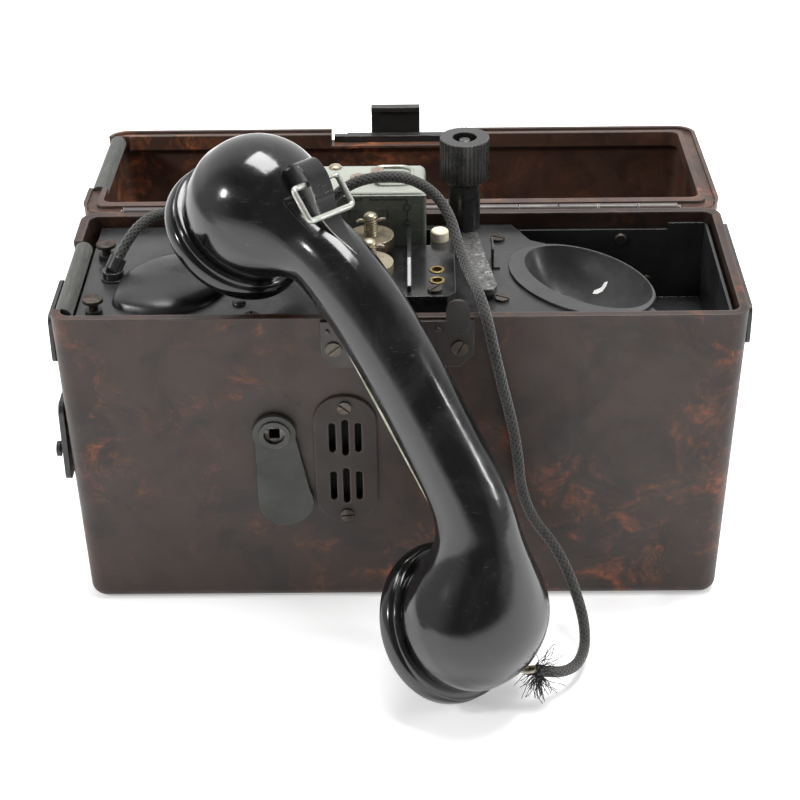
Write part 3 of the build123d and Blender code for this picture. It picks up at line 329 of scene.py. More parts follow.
CASE = mottled_resin(
    "case resin", base=(0.026, 0.0135, 0.0095), dark=(0.011, 0.0065, 0.005), spots=(0.23, 0.060, 0.017),
    amount=0.85, rim=(0.085, 0.064, 0.055), gloss=0.38)
BLACK = black_gloss("handset resin", (0.0040, 0.0038, 0.0040), 0.12, 0.10, (0.10, 0.095, 0.09), 0.35)
KNOB = black_gloss("knob resin", (0.010, 0.0095, 0.0095), 0.26, 0.35, (0.10, 0.085, 0.07), 0.6)
MOULDING = black_gloss("block resin", (0.012, 0.012, 0.0125), 0.20, 0.35, (0.10, 0.10, 0.10), 0.4)
DECK = satin_black("deck enamel", (0.011, 0.011, 0.0118), (0.20, 0.20, 0.195), 0.35, 0.24)
ENAMEL = satin_black("plate enamel", (0.012, 0.0115, 0.0112), (0.22, 0.19, 0.16), 0.75)
HINGE = satin_black("hinge strip", (0.050, 0.040, 0.036), (0.75, 0.73, 0.70), 1.0)
VENT = mottled_resin(
    "vent plate", base=(0.018, 0.011, 0.008), dark=(0.010, 0.007, 0.0055), spots=(0.10, 0.034, 0.018),
    amount=0.6, rim=(0.07, 0.052, 0.043), gloss=0.44)
LID = mottled_resin(
    "lid resin", base=(0.062, 0.030, 0.020), dark=(0.032, 0.015, 0.011), spots=(0.54, 0.175, 0.058),
    amount=1.0, rim=(0.055, 0.041, 0.035), gloss=0.38)
STEEL = worn_metal("worn steel", (0.42, 0.41, 0.385), (0.20, 0.185, 0.16), (0.13, 0.055, 0.025), 0.5, 0.34)
SCREW = worn_metal(
    "dark screws", (0.10, 0.088, 0.075), (0.045, 0.038, 0.032), (0.10, 0.05, 0.03), 0.6, 0.42)
PLATE = satin_black("plate brown", (0.013, 0.0088, 0.0075), (0.16, 0.12, 0.09), 0.6)
# a lighter copy of the deck enamel for the bowl: painted light that lifts the shade in the dish
DISH_PAINTED_LIGHT = satin_black("dish enamel painted light", (0.020, 0.020, 0.0212), (0.22, 0.22, 0.215), 0.3, 0.30)
COVER = satin_black("cover enamel", (0.0125, 0.0125, 0.0105), (0.13, 0.12, 0.10), 0.7, 0.45)
RUSTY = worn_metal("rusty clip", (0.34, 0.31, 0.27), (0.22, 0.17, 0.14), (0.20, 0.09, 0.06), 0.9, 0.45, 160)
WIRE = worn_metal("ring wire", (0.50, 0.51, 0.47), (0.30, 0.33, 0.28), (0.28, 0.10, 0.07), 0.35, 0.30, 120)
NICKEL = worn_metal(
    "tarnished nickel", (0.46, 0.41, 0.30), (0.26, 0.215, 0.15), (0.11, 0.07, 0.035), 0.45, 0.30)
BRASS = worn_metal(
    "old brass", (0.42, 0.32, 0.14), (0.20, 0.145, 0.06), (0.07, 0.045, 0.02), 0.6, 0.34, 200)
BUSH = worn_metal(
    "port metal", (0.16, 0.145, 0.13), (0.07, 0.062, 0.055), (0.07, 0.05, 0.04), 0.5, 0.42, 200)
KEY = worn_metal("talk key", (0.40, 0.40, 0.33), (0.26, 0.26, 0.205), (0.10, 0.08, 0.05), 0.3, 0.42, 80)
ARM, TIN, RUBBER, IVORY = flaked_arm(), chalky_paint_top_lit(), old_rubber(), yellowed_ivory()
BRAID = braided("cord braid", (0.011, 0.0105, 0.010), (0.040, 0.0385, 0.036))
IRON = plain_parts("magnet iron", (0.03, 0.03, 0.032), (0.10, 0.10, 0.105), 0.45, 0.8)
BRIGHT = plain_parts("works metal", (0.36, 0.34, 0.29), (0.55, 0.53, 0.48), 0.3, 0.9)
CARD = plain_parts("battery card", (0.32, 0.24, 0.13), (0.47, 0.38, 0.24), 0.7, 0.0)
COIL = wound_wire()
# printed lines on the tin; the same dark finish is the painted shade of the slot on its top
INK_AND_SLOT_SHADE = plain_parts("circuit ink and slot shade", (0.020, 0.020, 0.018), (0.045, 0.045, 0.040), 0.6, 0.0)
# near black: the finish of the sheet that is painted shade behind the vent slots
VENT_SHADE = plain_parts("vent painted shade", (0.003, 0.003, 0.003), (0.010, 0.010, 0.009), 0.85, 0.0)
YARN = plain_parts("frayed yarn", (0.006, 0.006, 0.0065), (0.028, 0.027, 0.026), 0.8, 0.0, 900)
WHITE_CHIP = plain_parts("white chip", (0.62, 0.62, 0.60), (0.80, 0.80, 0.78), 0.6, 0.0, 700)
PALE_CORE = plain_parts("conductor 0", (0.50, 0.44, 0.31), (0.70, 0.66, 0.52), 0.55, 0.0, 600)
BROWN_CORE = plain_parts("conductor 1", (0.34, 0.24, 0.13), (0.50, 0.38, 0.24), 0.55, 0.0, 600)

NODE_FINISH = {
    CASE: "case_body",
    LID: "lid_shell",
    RUBBER: "case_pad_tube lid_pad_tube",
    PLATE: "strike_plate",
    COVER: "port_cover",
    ENAMEL: "port_bush strap_plate strap_stud side_pads crank_clip latch_bracket latch_leaf deck_washers",
    SCREW: "front_screws deck_screws latch_pin thumb_screw_rear thumb_screw_front",
    VENT: "vent_plate",
    BUSH: "drive_shaft",
    DECK: "deck_plate battery_tray",
    DISH_PAINTED_LIGHT: "handset_bowl",
    MOULDING: "terminal_block cord_gland",
    NICKEL: "terminal_posts terminal_nut_rear terminal_nut_front",
    BRASS: "line_sockets",
    IVORY: "test_button",
    TIN: "tin_box",
    RUSTY: "tin_ring_clip",
    WIRE: "tin_ring handset_ring",
    ARM: "crank_arm",
    KNOB: "crank_knob",
    HINGE: "hinge_leaf_case hinge_leaf_lid hinge_pin",
    BLACK: "handset_body ear_cap mouth_cap handset_lug cord_entry",
    KEY: "talk_key",
    BRIGHT: "chassis generator_frame bell_gongs bell_hammer drive_gear capacitors "
            "receiver_capsule microphone_capsule",
    IRON: "generator_magnets armature",
    COIL: "bell_coils induction_coil",
    CARD: "dry_battery",
    BRAID: "handset_cord",
}
for finish, names in NODE_FINISH.items():
    for node_name in names.split():
        nodes[node_name].data.materials.clear()
        nodes[node_name].data.materials.append(finish)


# ---------------------------------------------------------------- mesh building
def new_mesh(name, verts, faces, finish, body, smooth=True, at=None):
    """A mesh object from points in metres, riding on a body."""
    mesh = bpy.data.meshes.new(name)
    mesh.from_pydata([tuple(v) for v in verts], [], faces)
    if smooth:
        mesh.polygons.foreach_set("use_smooth", [True] * len(mesh.polygons))
    if at is not None:
        mesh.transform(at)
    mesh.materials.append(finish)
    piece = bpy.data.objects.new(name, mesh)
    scene.collection.objects.link(piece)
    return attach(piece, body)


def lathe(name, profile, at, finish, body, steps=96, ripple=None):
    """A turned piece: profile is (radius, height) in millimetres; ripple(angle) adds to radii beyond 0."""
    verts, faces = [], []
    for r, z in profile:
        for k in range(steps):
            angle = 2 * math.pi * k / steps
            reach = r + (ripple(angle, z) if ripple else 0)
            verts.append((reach * math.cos(angle) * MM, reach * math.sin(angle) * MM, z * MM))
    for i in range(len(profile) - 1):
        for k in range(steps):
            low, high = i * steps, (i + 1) * steps
            faces.append((low + k, low + (k + 1) % steps, high + (k + 1) % steps, high + k))
    return new_mesh(name, verts, faces, finish, body, at=at)


def soften(piece, width, segments=3, angle=30):
    """Rounded edges on a hand-built piece, applied."""
    rounding = piece.modifiers.new("rounding", "BEVEL")
    rounding.width, rounding.segments = width, segments
    rounding.limit_method, rounding.angle_limit = "ANGLE", math.radians(angle)
    rounding.harden_normals = True
    apply_all(piece)
    return piece


def apply_all(piece):
    """Bakes a piece's modifiers into its mesh."""
    bpy.context.view_layer.update()
    ready = piece.evaluated_get(bpy.context.evaluated_depsgraph_get())
    mesh = bpy.data.meshes.new_from_object(ready)
    piece.modifiers.clear()
    piece.data = mesh


def tube(name, points, radius, finish, body, cyclic=False, order=3, taper=None):
    """A round wire or yarn along points in metres."""
    curve = bpy.data.curves.new(name, "CURVE")
    curve.dimensions = "3D"
    curve.bevel_depth, curve.bevel_resolution, curve.resolution_u = radius, 6, 12
    spline = curve.splines.new("NURBS")
    spline.points.add(len(points) - 1)
    for point, place in zip(spline.points, points):
        point.co = (*place, 1)
    if taper:
        for point, share in zip(spline.points, taper):
            point.radius = share
    spline.order_u, spline.use_endpoint_u, spline.use_cyclic_u = order, not cyclic, cyclic
    curve.use_fill_caps = True
    curve.materials.append(finish)
    piece = bpy.data.objects.new(name, curve)
    scene.collection.objects.link(piece)
    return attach(piece, body)


def join_meshes(name, pieces, finish, body):
    """One object from several pieces, with their places kept."""
    verts, faces = [], []
    bpy.context.view_layer.update()
    graph = bpy.context.evaluated_depsgraph_get()
    for piece in pieces:
        ready = piece.evaluated_get(graph)
        mesh = bpy.data.meshes.new_from_object(ready)
        start = len(verts)
        verts += [piece.matrix_world @ v.co for v in mesh.vertices]
        faces += [tuple(start + i for i in p.vertices) for p in mesh.polygons]
        bpy.data.meshes.remove(mesh)
        bpy.data.objects.remove(piece)
    return new_mesh(name, verts, faces, finish, body)


def bars(name, boxes, finish, body, at=None):
    """Thin straight bars in one mesh: each box is (x0, x1, y0, y1, z0, z1) in millimetres."""
    verts, faces = [], []
    for x0, x1, y0, y1, z0, z1 in boxes:
        start = len(verts)
        verts += [(x * MM, y * MM, z * MM) for z in (z0, z1) for y in (y0, y1) for x in (x0, x1)]
        for face in ((0, 2, 3, 1), (4, 5, 7, 6), (0, 1, 5, 4), (2, 6, 7, 3), (0, 4, 6, 2), (1, 3, 7, 5)):
            faces.append(tuple(start + i for i in face))
    return new_mesh(name, verts, faces, finish, body, smooth=False, at=at)


# ---------------------------------------------------------------- handset
EAR, MOUTH = Vector((-63.5, -16.0, 158.6)), Vector((18.5, -100.5, 29.3))
REACH = (MOUTH - EAR).length
ALONG = (MOUTH - EAR).normalized()
UP_BACK = Vector((0.58, -0.48, 0.657))
BACK = (UP_BACK - ALONG * UP_BACK.dot(ALONG)).normalized()
ACROSS = BACK.cross(ALONG)
TOE_IN = math.radians(8)


def grip_at(x, z, toe=0.0):
    """The frame whose x runs along the grip from the ear and z to its back, tipped by toe, in metres."""
    along = ALONG * math.cos(toe) - BACK * math.sin(toe)
    back = ALONG * math.sin(toe) + BACK * math.cos(toe)
    place = (EAR + ALONG * x + BACK * z) * MM
    return Matrix.Translation(place) @ Matrix((along, ACROSS, back)).transposed().to_4x4()


GRIP = grip_at(0, 0)
# each end: its frame, the dome's radius, the height of the dome's middle, the cap's radius
CAPS = {
    "ear": (grip_at(0, 0, -TOE_IN), 27.5, 19.0, 30.0),
    "mouth": (grip_at(REACH, 0, TOE_IN), 28.0, 14.0, 32.0),
}


def smooth_line(points, count):
    """Catmull-Rom through rows of numbers."""
    rows = np.array([points[0], *points, points[-1]], float)
    out = []
    for t in np.linspace(0, len(points) - 1 - 1e-9, count):
        i, u = int(t), t - int(t)
        a, b, c, d = rows[i:i + 4]
        bend, turn = 2 * a - 5 * b + 4 * c - d, 3 * b - a - 3 * c + d
        out.append(0.5 * (2 * b + (c - a) * u + bend * u**2 + turn * u**3))
    return np.array(out)


# the handle's middle line: along, back, half width, half depth
HANDLE = smooth_line((
    (6, 23, 14.0, 13.0), (27, 38, 14.2, 14.0), (50, 44.5, 14.0, 14.6), (78, 47, 13.6, 15.0),
    (105, 47, 13.4, 15.0), (REACH - 40, 45.5, 13.8, 15.0), (REACH - 18, 37, 15.5, 15.0),
    (REACH - 2, 22, 18.0, 14.0),
), 220)

SKIRT_SHARE = 0.93  # the skirt's radius as a share of the dome's
CAP_SEAT, HALFWAY, FAR_OFF = 4.0, 70, 400
BLANK_R, VOXEL = 15.5, 1.15  # the rough handle's radius, the even mesh's cell


def handle_depth(p):
    """Distance outside the handle, for rows of (along, across, back) in millimetres."""
    gap = p[:, None, [0, 2]] - HANDLE[None, :, :2]
    near = np.argmin((gap**2).sum(2), 1)
    run = np.gradient(HANDLE[:, :2], axis=0)
    run /= np.linalg.norm(run, axis=1)[:, None]
    rows, run = HANDLE[near], run[near]
    off = p[:, [0, 2]] - rows[:, :2]
    outward = off[:, 0] * -run[:, 1] + off[:, 1] * run[:, 0]
    beyond = off[:, 0] * run[:, 0] + off[:, 1] * run[:, 1]
    wide, deep = rows[:, 2], rows[:, 3]
    # the back is gently ridged and the inside flatter
    ridge = 1.0 + 0.05 * np.clip(outward / deep, 0, 1)**3
    u, v = np.abs(p[:, 1]) / wide, np.abs(outward) / (deep * ridge)
    across = ((u**2.25 + v**2.25)**(2 / 2.25) + (beyond / np.minimum(wide, deep))**2)**0.5
    return (across - 1) * np.minimum(wide, deep)


def dome_depth(p, cap):
    """Distance outside one end's dome and its short skirt."""
    frame_in_grip = GRIP.inverted() @ cap[0]
    origin = np.array(frame_in_grip.translation) / MM
    turn = np.array(frame_in_grip.to_3x3())
    q = (p - origin) @ turn
    radius, middle = cap[1], cap[2]
    ball = np.linalg.norm(q - (0, 0, middle), axis=1) - radius
    around = np.hypot(q[:, 0], q[:, 1]) - radius * SKIRT_SHARE
    skirt = np.maximum(around, np.abs(q[:, 2] - middle / 2 - 2) - middle / 2 + 2)
    return blend_min(ball, skirt, 5.0), q[:, 2]


def blend_min(a, b, reach):
    """The nearer of two surfaces, with a fillet of about that reach where they meet."""
    h = np.clip(0.5 + 0.5 * (b - a) / reach, 0, 1)
    return b * (1 - h) + a * h - reach * h * (1 - h)


def handset_depth(p):
    grip = handle_depth(p)
    ear, ear_height = dome_depth(p, CAPS["ear"])
    mouth, mouth_height = dome_depth(p, CAPS["mouth"])
    whole = blend_min(blend_min(grip, ear, 12.0), mouth, 20.0)
    # flat where the caps screw on, each cap's cut kept to its own half of the handset
    ear_cut = CAP_SEAT - ear_height - FAR_OFF * (p[:, 0] > HALFWAY)
    mouth_cut = CAP_SEAT - mouth_height - FAR_OFF * (p[:, 0] < HALFWAY)
    return np.maximum(whole, np.maximum(ear_cut, mouth_cut))


def build_handset():
    """The moulded grip: a rough union remeshed evenly, then drawn onto the smooth blended surface."""
    blank = bmesh.new()
    for along, back, *_ in HANDLE[::6]:
        at = Matrix.Translation(Vector((along, 0, back)) * MM)
        bmesh.ops.create_icosphere(blank, subdivisions=3, radius=BLANK_R * MM, matrix=at)
    for place, radius, middle, _ in CAPS.values():
        end = GRIP.inverted() @ place
        at = end @ Matrix.Translation((0, 0, middle * MM))
        bmesh.ops.create_icosphere(blank, subdivisions=4, radius=radius * MM, matrix=at)
        at = end @ Matrix.Translation((0, 0, (middle / 2 + 2) * MM))
        wide = radius * SKIRT_SHARE * MM
        bmesh.ops.create_cone(
            blank, cap_ends=True, segments=64, radius1=wide, radius2=wide, depth=(middle - 4) * MM, matrix=at)
    mesh = bpy.data.meshes.new("handset_grip")
    blank.to_mesh(mesh)
    blank.free()
    rough = bpy.data.objects.new("handset_grip", mesh)
    scene.collection.objects.link(rough)
    even = rough.modifiers.new("even", "REMESH")
    even.mode, even.voxel_size = "VOXEL", VOXEL * MM
    apply_all(rough)
    co = np.array([v.co for v in rough.data.vertices]) / MM
    nudge = 0.15
    for _ in range(14):
        depth = handset_depth(co)
        slope = np.stack([
            (handset_depth(co + axis * nudge) - handset_depth(co - axis * nudge)) / (2 * nudge)
            for axis in np.eye(3)], axis=1)
        size = np.maximum((slope**2).sum(1), 0.15)
        co -= 0.7 * (np.clip(depth, -4, 4) / size)[:, None] * slope
    faces = [tuple(p.vertices) for p in rough.data.polygons]
    bpy.data.objects.remove(rough)
    grip = new_mesh("handset_grip", co * MM, faces, BLACK, "handset", at=GRIP)
    relax = grip.modifiers.new("relax", "SMOOTH")
    relax.factor, relax.iterations = 0.5, 12
    apply_all(grip)
    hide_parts("handset_body")
    return grip


build_handset()

# the lug: a strap over the ear dome whose tail narrows to a point on the handle; along, back, half width
STRAP = (
    (-6.0, 49.5, 4.6), (-5.4, 53.0, 5.0), (-3.6, 55.4, 5.2), (0.0, 56.6, 5.2), (4.0, 56.8, 5.2),
    (9.5, 55.6, 5.0), (14.0, 53.6, 4.8), (20.0, 53.0, 4.2), (27.0, 54.2, 3.0), (34.0, 56.6, 1.6),
    (38.0, 57.2, 0.4),
)
STRAP_DEPTH = 14  # far enough down to end inside the moulding
RING_BACK = 54  # the ring's height off the grip's middle line


def build_strap():
    line = smooth_line(STRAP, 48)
    verts, faces = [], []
    for x, top, half in line:
        low = top - STRAP_DEPTH
        for y, z in ((-half, low), (-half, top), (half, top), (half, low)):
            verts.append(Vector((x, y, z)) * MM)
    for i in range(len(line) - 1):
        for k in range(3):
            a = 4 * i + k
            faces.append((a, a + 4, a + 5, a + 1))
    faces += [(0, 1, 2, 3), tuple(len(verts) - 1 - k for k in range(4))]
    strap = new_mesh("handset_lug_strap", verts, faces, BLACK, "handset", smooth=False, at=GRIP)
    soften(strap, 0.7 * MM)
    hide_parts("handset_lug")


build_strap()
half_loop = ((4, 0), (4, 8), (4, 11.5), (8, 11.5), (13, 11.5), (17.5, 11.5), (17.5, 7), (17.5, 0))
loop = half_loop + tuple((x, -y) for x, y in half_loop[-2:0:-1])
ring_line = [GRIP @ (Vector((x, y, RING_BACK)) * MM) for x, y in loop]
ring_wire = tube("handset_ring_wire", ring_line, 1.2 * MM, WIRE, "handset_ring", cyclic=True)
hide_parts("handset_ring")
# bare metal along the tail's left edge
edge_line = [Vector((x, -half - 0.1, top - 0.3)) * MM for x, top, half in smooth_line(STRAP, 24)[10:]]
tube("lug_worn_edge", [GRIP @ place for place in edge_line], 0.28 * MM, STEEL, "handset")

# ends: a flange with two grooves, then the screwed cap with its dished face: in from the rim, height
RIM_STEPS = (
    (1.9, 5.6), (1.2, 4.9), (1.0, 4.2), (1.2, 3.6), (2.3, 3.1), (2.3, 2.7), (0.9, 2.2), (0.3, 1.2), (0, -0.8),
    (0, -2.6), (0.3, -3.6), (1.2, -4.9), (2.6, -6.2), (4.6, -7.1), (6.6, -7.3), (8.4, -6.9), (11, -6.0),
    (15, -5.0), (20, -4.5),
)
for label, hole_r in (("ear", 5), ("mouth", 9)):
    at, dome_r, _, cap_r = CAPS[label]
    profile = [(dome_r * 0.86, 6.4), (dome_r * 0.955, 6.2)]
    profile += [(cap_r - inward, height) for inward, height in RIM_STEPS]
    profile += [(hole_r + 0.4, -4.3), (hole_r, -4.1), (hole_r - 0.2, -3.6), (0.01, -3.6)]
    cap = lathe(f"{label}_cap_turned", profile, at, BLACK, "handset", 128)
    soft = cap.modifiers.new("soft", "SUBSURF")
    soft.levels = soft.render_levels = 1
    apply_all(cap)
    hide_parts(f"{label}_cap")

# ---------------------------------------------------------------- terminal posts
NUT_X, NUT_YS = -11.4, (-2.5, -26.0)
NUT_TOP, THREAD_PITCH, THREAD_TURNS = 149.4, 1.03, 7


def post_profile():
    """A stud from the block's top: a plain neck inside the nut, a thread, then a domed head."""
    rows = [(5.5, 138.9), (5.5, 144.4), (2.6, 144.5), (2.6, 149.3)]
    for turn in range(THREAD_TURNS):
        low = NUT_TOP + turn * THREAD_PITCH
        rows += [(1.8, low), (2.0, low + 0.08), (2.75, low + 0.35)]
        rows += [(2.75, low + 0.62), (2.0, low + 0.9), (1.8, low + 0.98)]
    rows += [(2.3, 156.7), (2.9, 156.9), (2.95, 157.5), (2.6, 158.2)]
    return rows + [(1.8, 158.8), (0.9, 159.1), (0.01, 159.2)]


studs = []
for y in NUT_YS:
    at = Matrix.Translation(Vector((NUT_X, y, 0)) * MM)
    studs.append(lathe("stud", post_profile(), at, NICKEL, "case", 40))
posts = join_meshes("threaded_posts", studs, NICKEL, "case")
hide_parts("terminal_posts")
# a bent pin through each post's head
for label, y, tip in (("rear", NUT_YS[0], 0.9), ("front", NUT_YS[1], -0.5)):
    pin = ((-5.6, -0.6, 155.3), (-4.6, -0.2, 156.0), (-2.6, 0, 155.7), (2.6, 0, 155.6), (4.4, 0.3, 156.3))
    pin_line = [Vector((NUT_X + x, y + dy, z)) * MM for x, dy, z in (*pin, (5.8, tip, 155.9))]
    tube(f"post_pin_{label}", pin_line, 0.62 * MM, RUSTY, "case")

# ---------------------------------------------------------------- tin: wiring, top lip, slot and screw
TIN_FRONT = 10.0
# straight lines of a generic wiring sketch on the tin's front: x0, x1, z0, z1
LINES = (
    (-21.9, -15.4, 158.7, 158.7), (-15.4, -15.4, 158.7, 161.2), (-11.6, -11.6, 158.7, 161.2),
    (-11.6, 3.2, 158.7, 158.7), (3.2, 3.2, 156.6, 158.7), (3.3, 3.3, 149.4, 153.8),
    (-20.6, -16.5, 153.8, 153.8), (-20.4, -20.4, 150.4, 153.8), (-8.2, -4.6, 153.8, 153.8),
    (-4.6, -4.6, 151.0, 153.8), (2.3, 4.1, 149.4, 149.4), (2.3, 4.1, 147.6, 147.6), (2.3, 2.3, 147.6, 149.4),
    (-29, -25, 153.8, 153.8), (-29, -29, 146, 153.8),
)
inked = [
    (x0 - 0.22, x1 + 0.22, TIN_FRONT - 0.07, TIN_FRONT + 0.05, z0 - 0.2, z1 + 0.2) for x0, x1, z0, z1 in LINES
]
bars("tin_wiring_sketch", inked, INK_AND_SLOT_SHADE, "tin")
LAMP_X, LAMP_Z, LAMP_R = 3.3, 155.2, 1.4
lamp_line = []
for k in range(12):
    angle = k * math.pi / 6
    place = (LAMP_X + LAMP_R * math.cos(angle), TIN_FRONT, LAMP_Z + LAMP_R * math.sin(angle))
    lamp_line.append(Vector(place) * MM)
tube("tin_wiring_lamp", lamp_line, 0.2 * MM, INK_AND_SLOT_SHADE, "tin", cyclic=True)
lip = bars("tin_top_lip", [(-34.0, 11.0, 9.45, 10.4, 159.9, 160.9)], TIN, "tin")
soften(lip, 0.3 * MM)
# a flat dark bar on the tin's top in place of a slot: painted shade for the hole's inside
bars("tin_slot_shade", [(-3.3, -0.5, 34.0, 35.0, 161.9, 162.06)], INK_AND_SLOT_SHADE, "tin")
screw_head = ((2.7, 161.9), (2.7, 162.5), (2.2, 163.0), (1.2, 163.3), (0.01, 163.4))
lathe("tin_screw", screw_head, Matrix.Translation(Vector((-26.5, 34.5, 0)) * MM), NICKEL, "tin", 32)

# ---------------------------------------------------------------- case: painted shade behind the vent, mound, chip, small heads
# a near-black sheet behind the vent plate: painted shade for the dark inside of the grille
bars("vent_painted_shade", [(-34.5, -10.0, -42.2, -41.9, 41.0, 100.0)], VENT_SHADE, "case")


def mound(name, middle, outline, height, base, finish, body, rings=28):
    """A smooth rise inside a closed outline, steep at its edge and nearly flat on top."""
    verts, faces = [Vector((*middle, base + height)) * MM], []
    count = len(outline)
    for k in range(1, rings + 1):
        share = k / rings
        rise = height * (1 - share**5)**0.5
        for x, y in outline:
            inner_x, inner_y = middle[0] + (x - middle[0]) * share, middle[1] + (y - middle[1]) * share
            verts.append(Vector((inner_x, inner_y, base + rise)) * MM)
    for j in range(count):
        faces.append((0, 1 + j, 1 + (j + 1) % count))
        for k in range(rings - 1):
            low, high = 1 + k * count, 1 + (k + 1) * count
            faces.append((low + j, high + j, high + (j + 1) % count, low + (j + 1) % count))
    return new_mesh(name, verts, faces, finish, body)


# an ellipse just wider than the CAD's own mound, drawn out to a blunt tip at its front left
MOUND_X, MOUND_Y = -91, -10
hull = []
for k in range(96):
    angle = math.radians(k * 3.75)
    turned = angle + math.radians(30)
    reach = 1.1 / math.hypot(math.cos(turned) / 20, math.sin(turned) / 24)
    reach += 3.0 * max(0.0, math.cos(angle - math.radians(218)))**24
    hull.append((MOUND_X + reach * math.cos(angle), MOUND_Y + reach * math.sin(angle)))
mound("deck_mound", (MOUND_X, MOUND_Y), hull, 5.4, 130.95, DECK, "case")


def resting(node_name, x, y, above=0.1):
    """The place on top of a node at x, y in millimetres, a little above it."""
    piece = nodes[node_name]
    back = piece.matrix_world.inverted()
    start, toward = back @ (Vector((x, y, 170)) * MM), back.to_3x3() @ Vector((0, 0, -1))
    hit, place, *_ = piece.ray_cast(start, toward)
    return piece.matrix_world @ place + Vector((0, 0, above * MM)) if hit else Vector((x, y, 131)) * MM


# a pale flake of something that lies in the dish
CHIP_EDGE = (
    (-2.0, 0.2), (-1.5, 1.1), (-0.4, 0.7), (0.4, 0.5), (1.2, 1.2), (2.1, 0.7), (1.6, -0.3), (0.5, -1.1),
    (-0.7, -0.8),
)
chip_points = [resting("handset_bowl", 82.4 + 1.5 * x, 3.5 + 1.1 * y) for x, y in CHIP_EDGE]
new_mesh("bowl_chip", chip_points, [tuple(range(len(CHIP_EDGE)))], WHITE_CHIP, "case", smooth=False)
button_head = ((2.7, -0.3), (2.7, 0.5), (2.2, 1.1), (1.2, 1.4), (0.01, 1.5))
lathe("deck_button", button_head, Matrix.Translation(Vector((-63.7, -26, 131)) * MM), DECK, "case", 32)
on_back_wall = Matrix.Translation(Vector((102.6, 43.8, 125.2)) * MM)
lathe("tray_rivet", button_head, on_back_wall @ Matrix.Rotation(math.radians(90), 4, "X"), STEEL, "case", 32)

# ---------------------------------------------------------------- frayed braid, bare conductors
END = Vector(CORD_ROUTE[-1]) * MM


def threads(name, lines, radius, finish, body):
    """Fine yarns as one mesh of five-sided tubes, each line a row of points in metres."""
    verts, faces = [], []
    for line in lines:
        start = len(verts)
        for i, place in enumerate(line):
            run = (line[min(i + 1, len(line) - 1)] - line[max(i - 1, 0)]).normalized()
            one = run.orthogonal().normalized()
            two = run.cross(one)
            for k in range(5):
                angle = 2 * math.pi * k / 5
                verts.append(place + (one * math.cos(angle) + two * math.sin(angle)) * radius)
        for i in range(len(line) - 1):
            for k in range(5):
                a, b = start + i * 5 + k, start + i * 5 + (k + 1) % 5
                faces.append((a, b, b + 5, a + 5))
    return new_mesh(name, verts, faces, finish, body)


# tufts: how many yarns, which way, how widely spread, shortest and longest in millimetres
TUFTS = (
    (60, (0.02, -0.12, -1.0), 0.20, 6, 15), (6, (0.9, 0.1, 0.25), 0.30, 7, 12),
    (10, (0.62, 0.10, 0.75), 0.12, 7, 12), (16, (-0.85, 0.02, -0.45), 0.35, 3, 7),
    (10, (0.5, -0.1, -0.8), 0.2, 6, 12),
)
YARN_STEPS = 9
rng = random.Random(11)
yarns = []
for count, aim, spread, short, long in TUFTS:
    for _ in range(count):
        heading = (Vector(aim) + Vector([rng.gauss(0, spread) for _ in range(3)])).normalized()
        start = END + Vector([rng.gauss(0, 0.9) for _ in range(3)]) * MM
        length = rng.uniform(short, long) * MM
        line = [start]
        for _ in range(YARN_STEPS):
            heading = (heading + Vector([rng.gauss(0, 0.16) for _ in range(3)])).normalized()
            following = line[-1] + heading * length / YARN_STEPS
            following.z = max(following.z, 0.4 * MM)
            line.append(following)
        yarns.append(line)
threads("cord_frays", yarns, 0.15 * MM, YARN, "handset")
CORE_OFFSETS = ((0.9, 0, 0.8), (-0.5, -0.9, 0.4), (0.2, 0.3, -0.9), (-0.6, 0.6, 0.9))
for k, (dx, dy, dz) in enumerate(CORE_OFFSETS):
    sag = (50.0, -115.2, 15.6 + 0.4 * k)
    bend = (CORD_ROUTE[-1], sag, (46.5, -113.8, 15.6), (43.0, -111.8, 17.0), (40.0, -110.0, 19.0))
    points = [Vector((x + dx, y + dy, z + dz)) * MM for x, y, z in bend]
    core_finish = BROWN_CORE if k == 3 else PALE_CORE
    tube(f"conductor_{k}", points, 0.68 * MM, core_finish, "handset")
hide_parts("cord_entry")

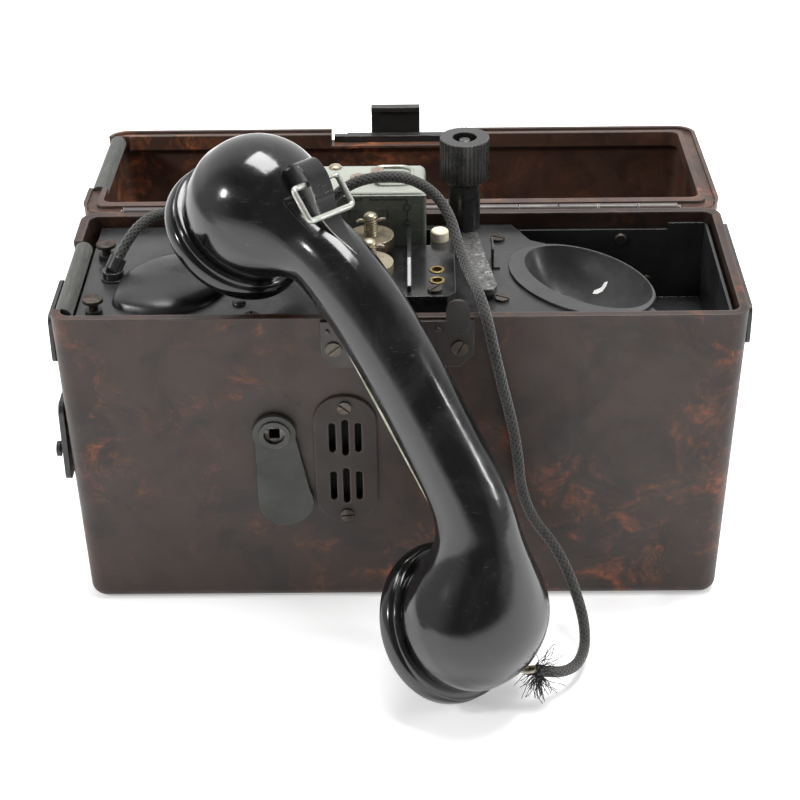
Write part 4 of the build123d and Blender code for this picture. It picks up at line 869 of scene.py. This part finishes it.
# ---------------------------------------------------------------- floor, lights
floor_surface = Surface("floor")
clouding = floor_surface.step(floor_surface.noise(3, 3), 0.3, 0.7)
paper = floor_surface.mix(clouding, (0.93, 0.93, 0.93), (0.96, 0.96, 0.96))
floor_surface.finish(
    paper, 0.9, Specular_IOR_Level=0.1, Emission_Color=(1.0, 1.0, 1.0, 1), Emission_Strength=0.36)
floor = bpy.data.objects.new("floor", bpy.data.meshes.new("floor"))
floor.data.from_pydata([(-8, -8, 0), (8, -8, 0), (8, 8, 0), (-8, 8, 0)], [], [(0, 1, 2, 3)])
floor.data.materials.append(floor_surface.material)
floor.location.z = -0.0002
scene.collection.objects.link(floor)

# a light tent that is open, and so dark, on its front side
scene.world = bpy.data.worlds.new("studio")
scene.world.use_nodes = True
tent = Nodes(scene.world.node_tree)
direction = tent.add("ShaderNodeTexCoord").outputs["Generated"]
back_wall = tent.step(tent.axis("Y", direction), -0.15, 0.55, 0.0, 1.0)
side_walls = tent.step(tent.math("ABSOLUTE", tent.axis("X", direction)), 0.50, 0.95, 0.0, 0.55)
walls = tent.math("MAXIMUM", back_wall, side_walls)
below = tent.step(tent.axis("Z", direction), -0.05, 0.05, 1.0, 0.0)
background = tent.tree.nodes["Background"]
tent.put(background.inputs["Strength"], tent.math("ADD", tent.math("MAXIMUM", walls, below), 0.15))
background.inputs["Color"].default_value = (1.0, 1.0, 1.0, 1)


def soft_light(name, place, target, size, power):
    lamp = bpy.data.lights.new(name, "AREA")
    lamp.shape, lamp.size, lamp.size_y, lamp.energy = "RECTANGLE", size[0], size[1], power
    piece = bpy.data.objects.new(name, lamp)
    piece.location = place
    piece.rotation_euler = (Vector(place) - Vector(target)).to_track_quat("Z", "Y").to_euler()
    scene.collection.objects.link(piece)


soft_light("key", (-1.05, -0.52, 0.80), (0, 0, 0.1), (0.16, 0.16), 7)
soft_light("top", (0.15, 0.20, 1.7), (0, 0, 0), (1.0, 0.8), 38)
soft_light("right_strip", (1.40, -0.25, 0.72), (0, -0.06, 0.12), (0.14, 0.70), 6.5)

# ---------------------------------------------------------------- cord
route = [Vector(p) * MM for p in CORD_ROUTE]
cord = tube("braided_cord", route, CORD_D / 2 * MM, BRAID, "case")
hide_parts("handset_cord")
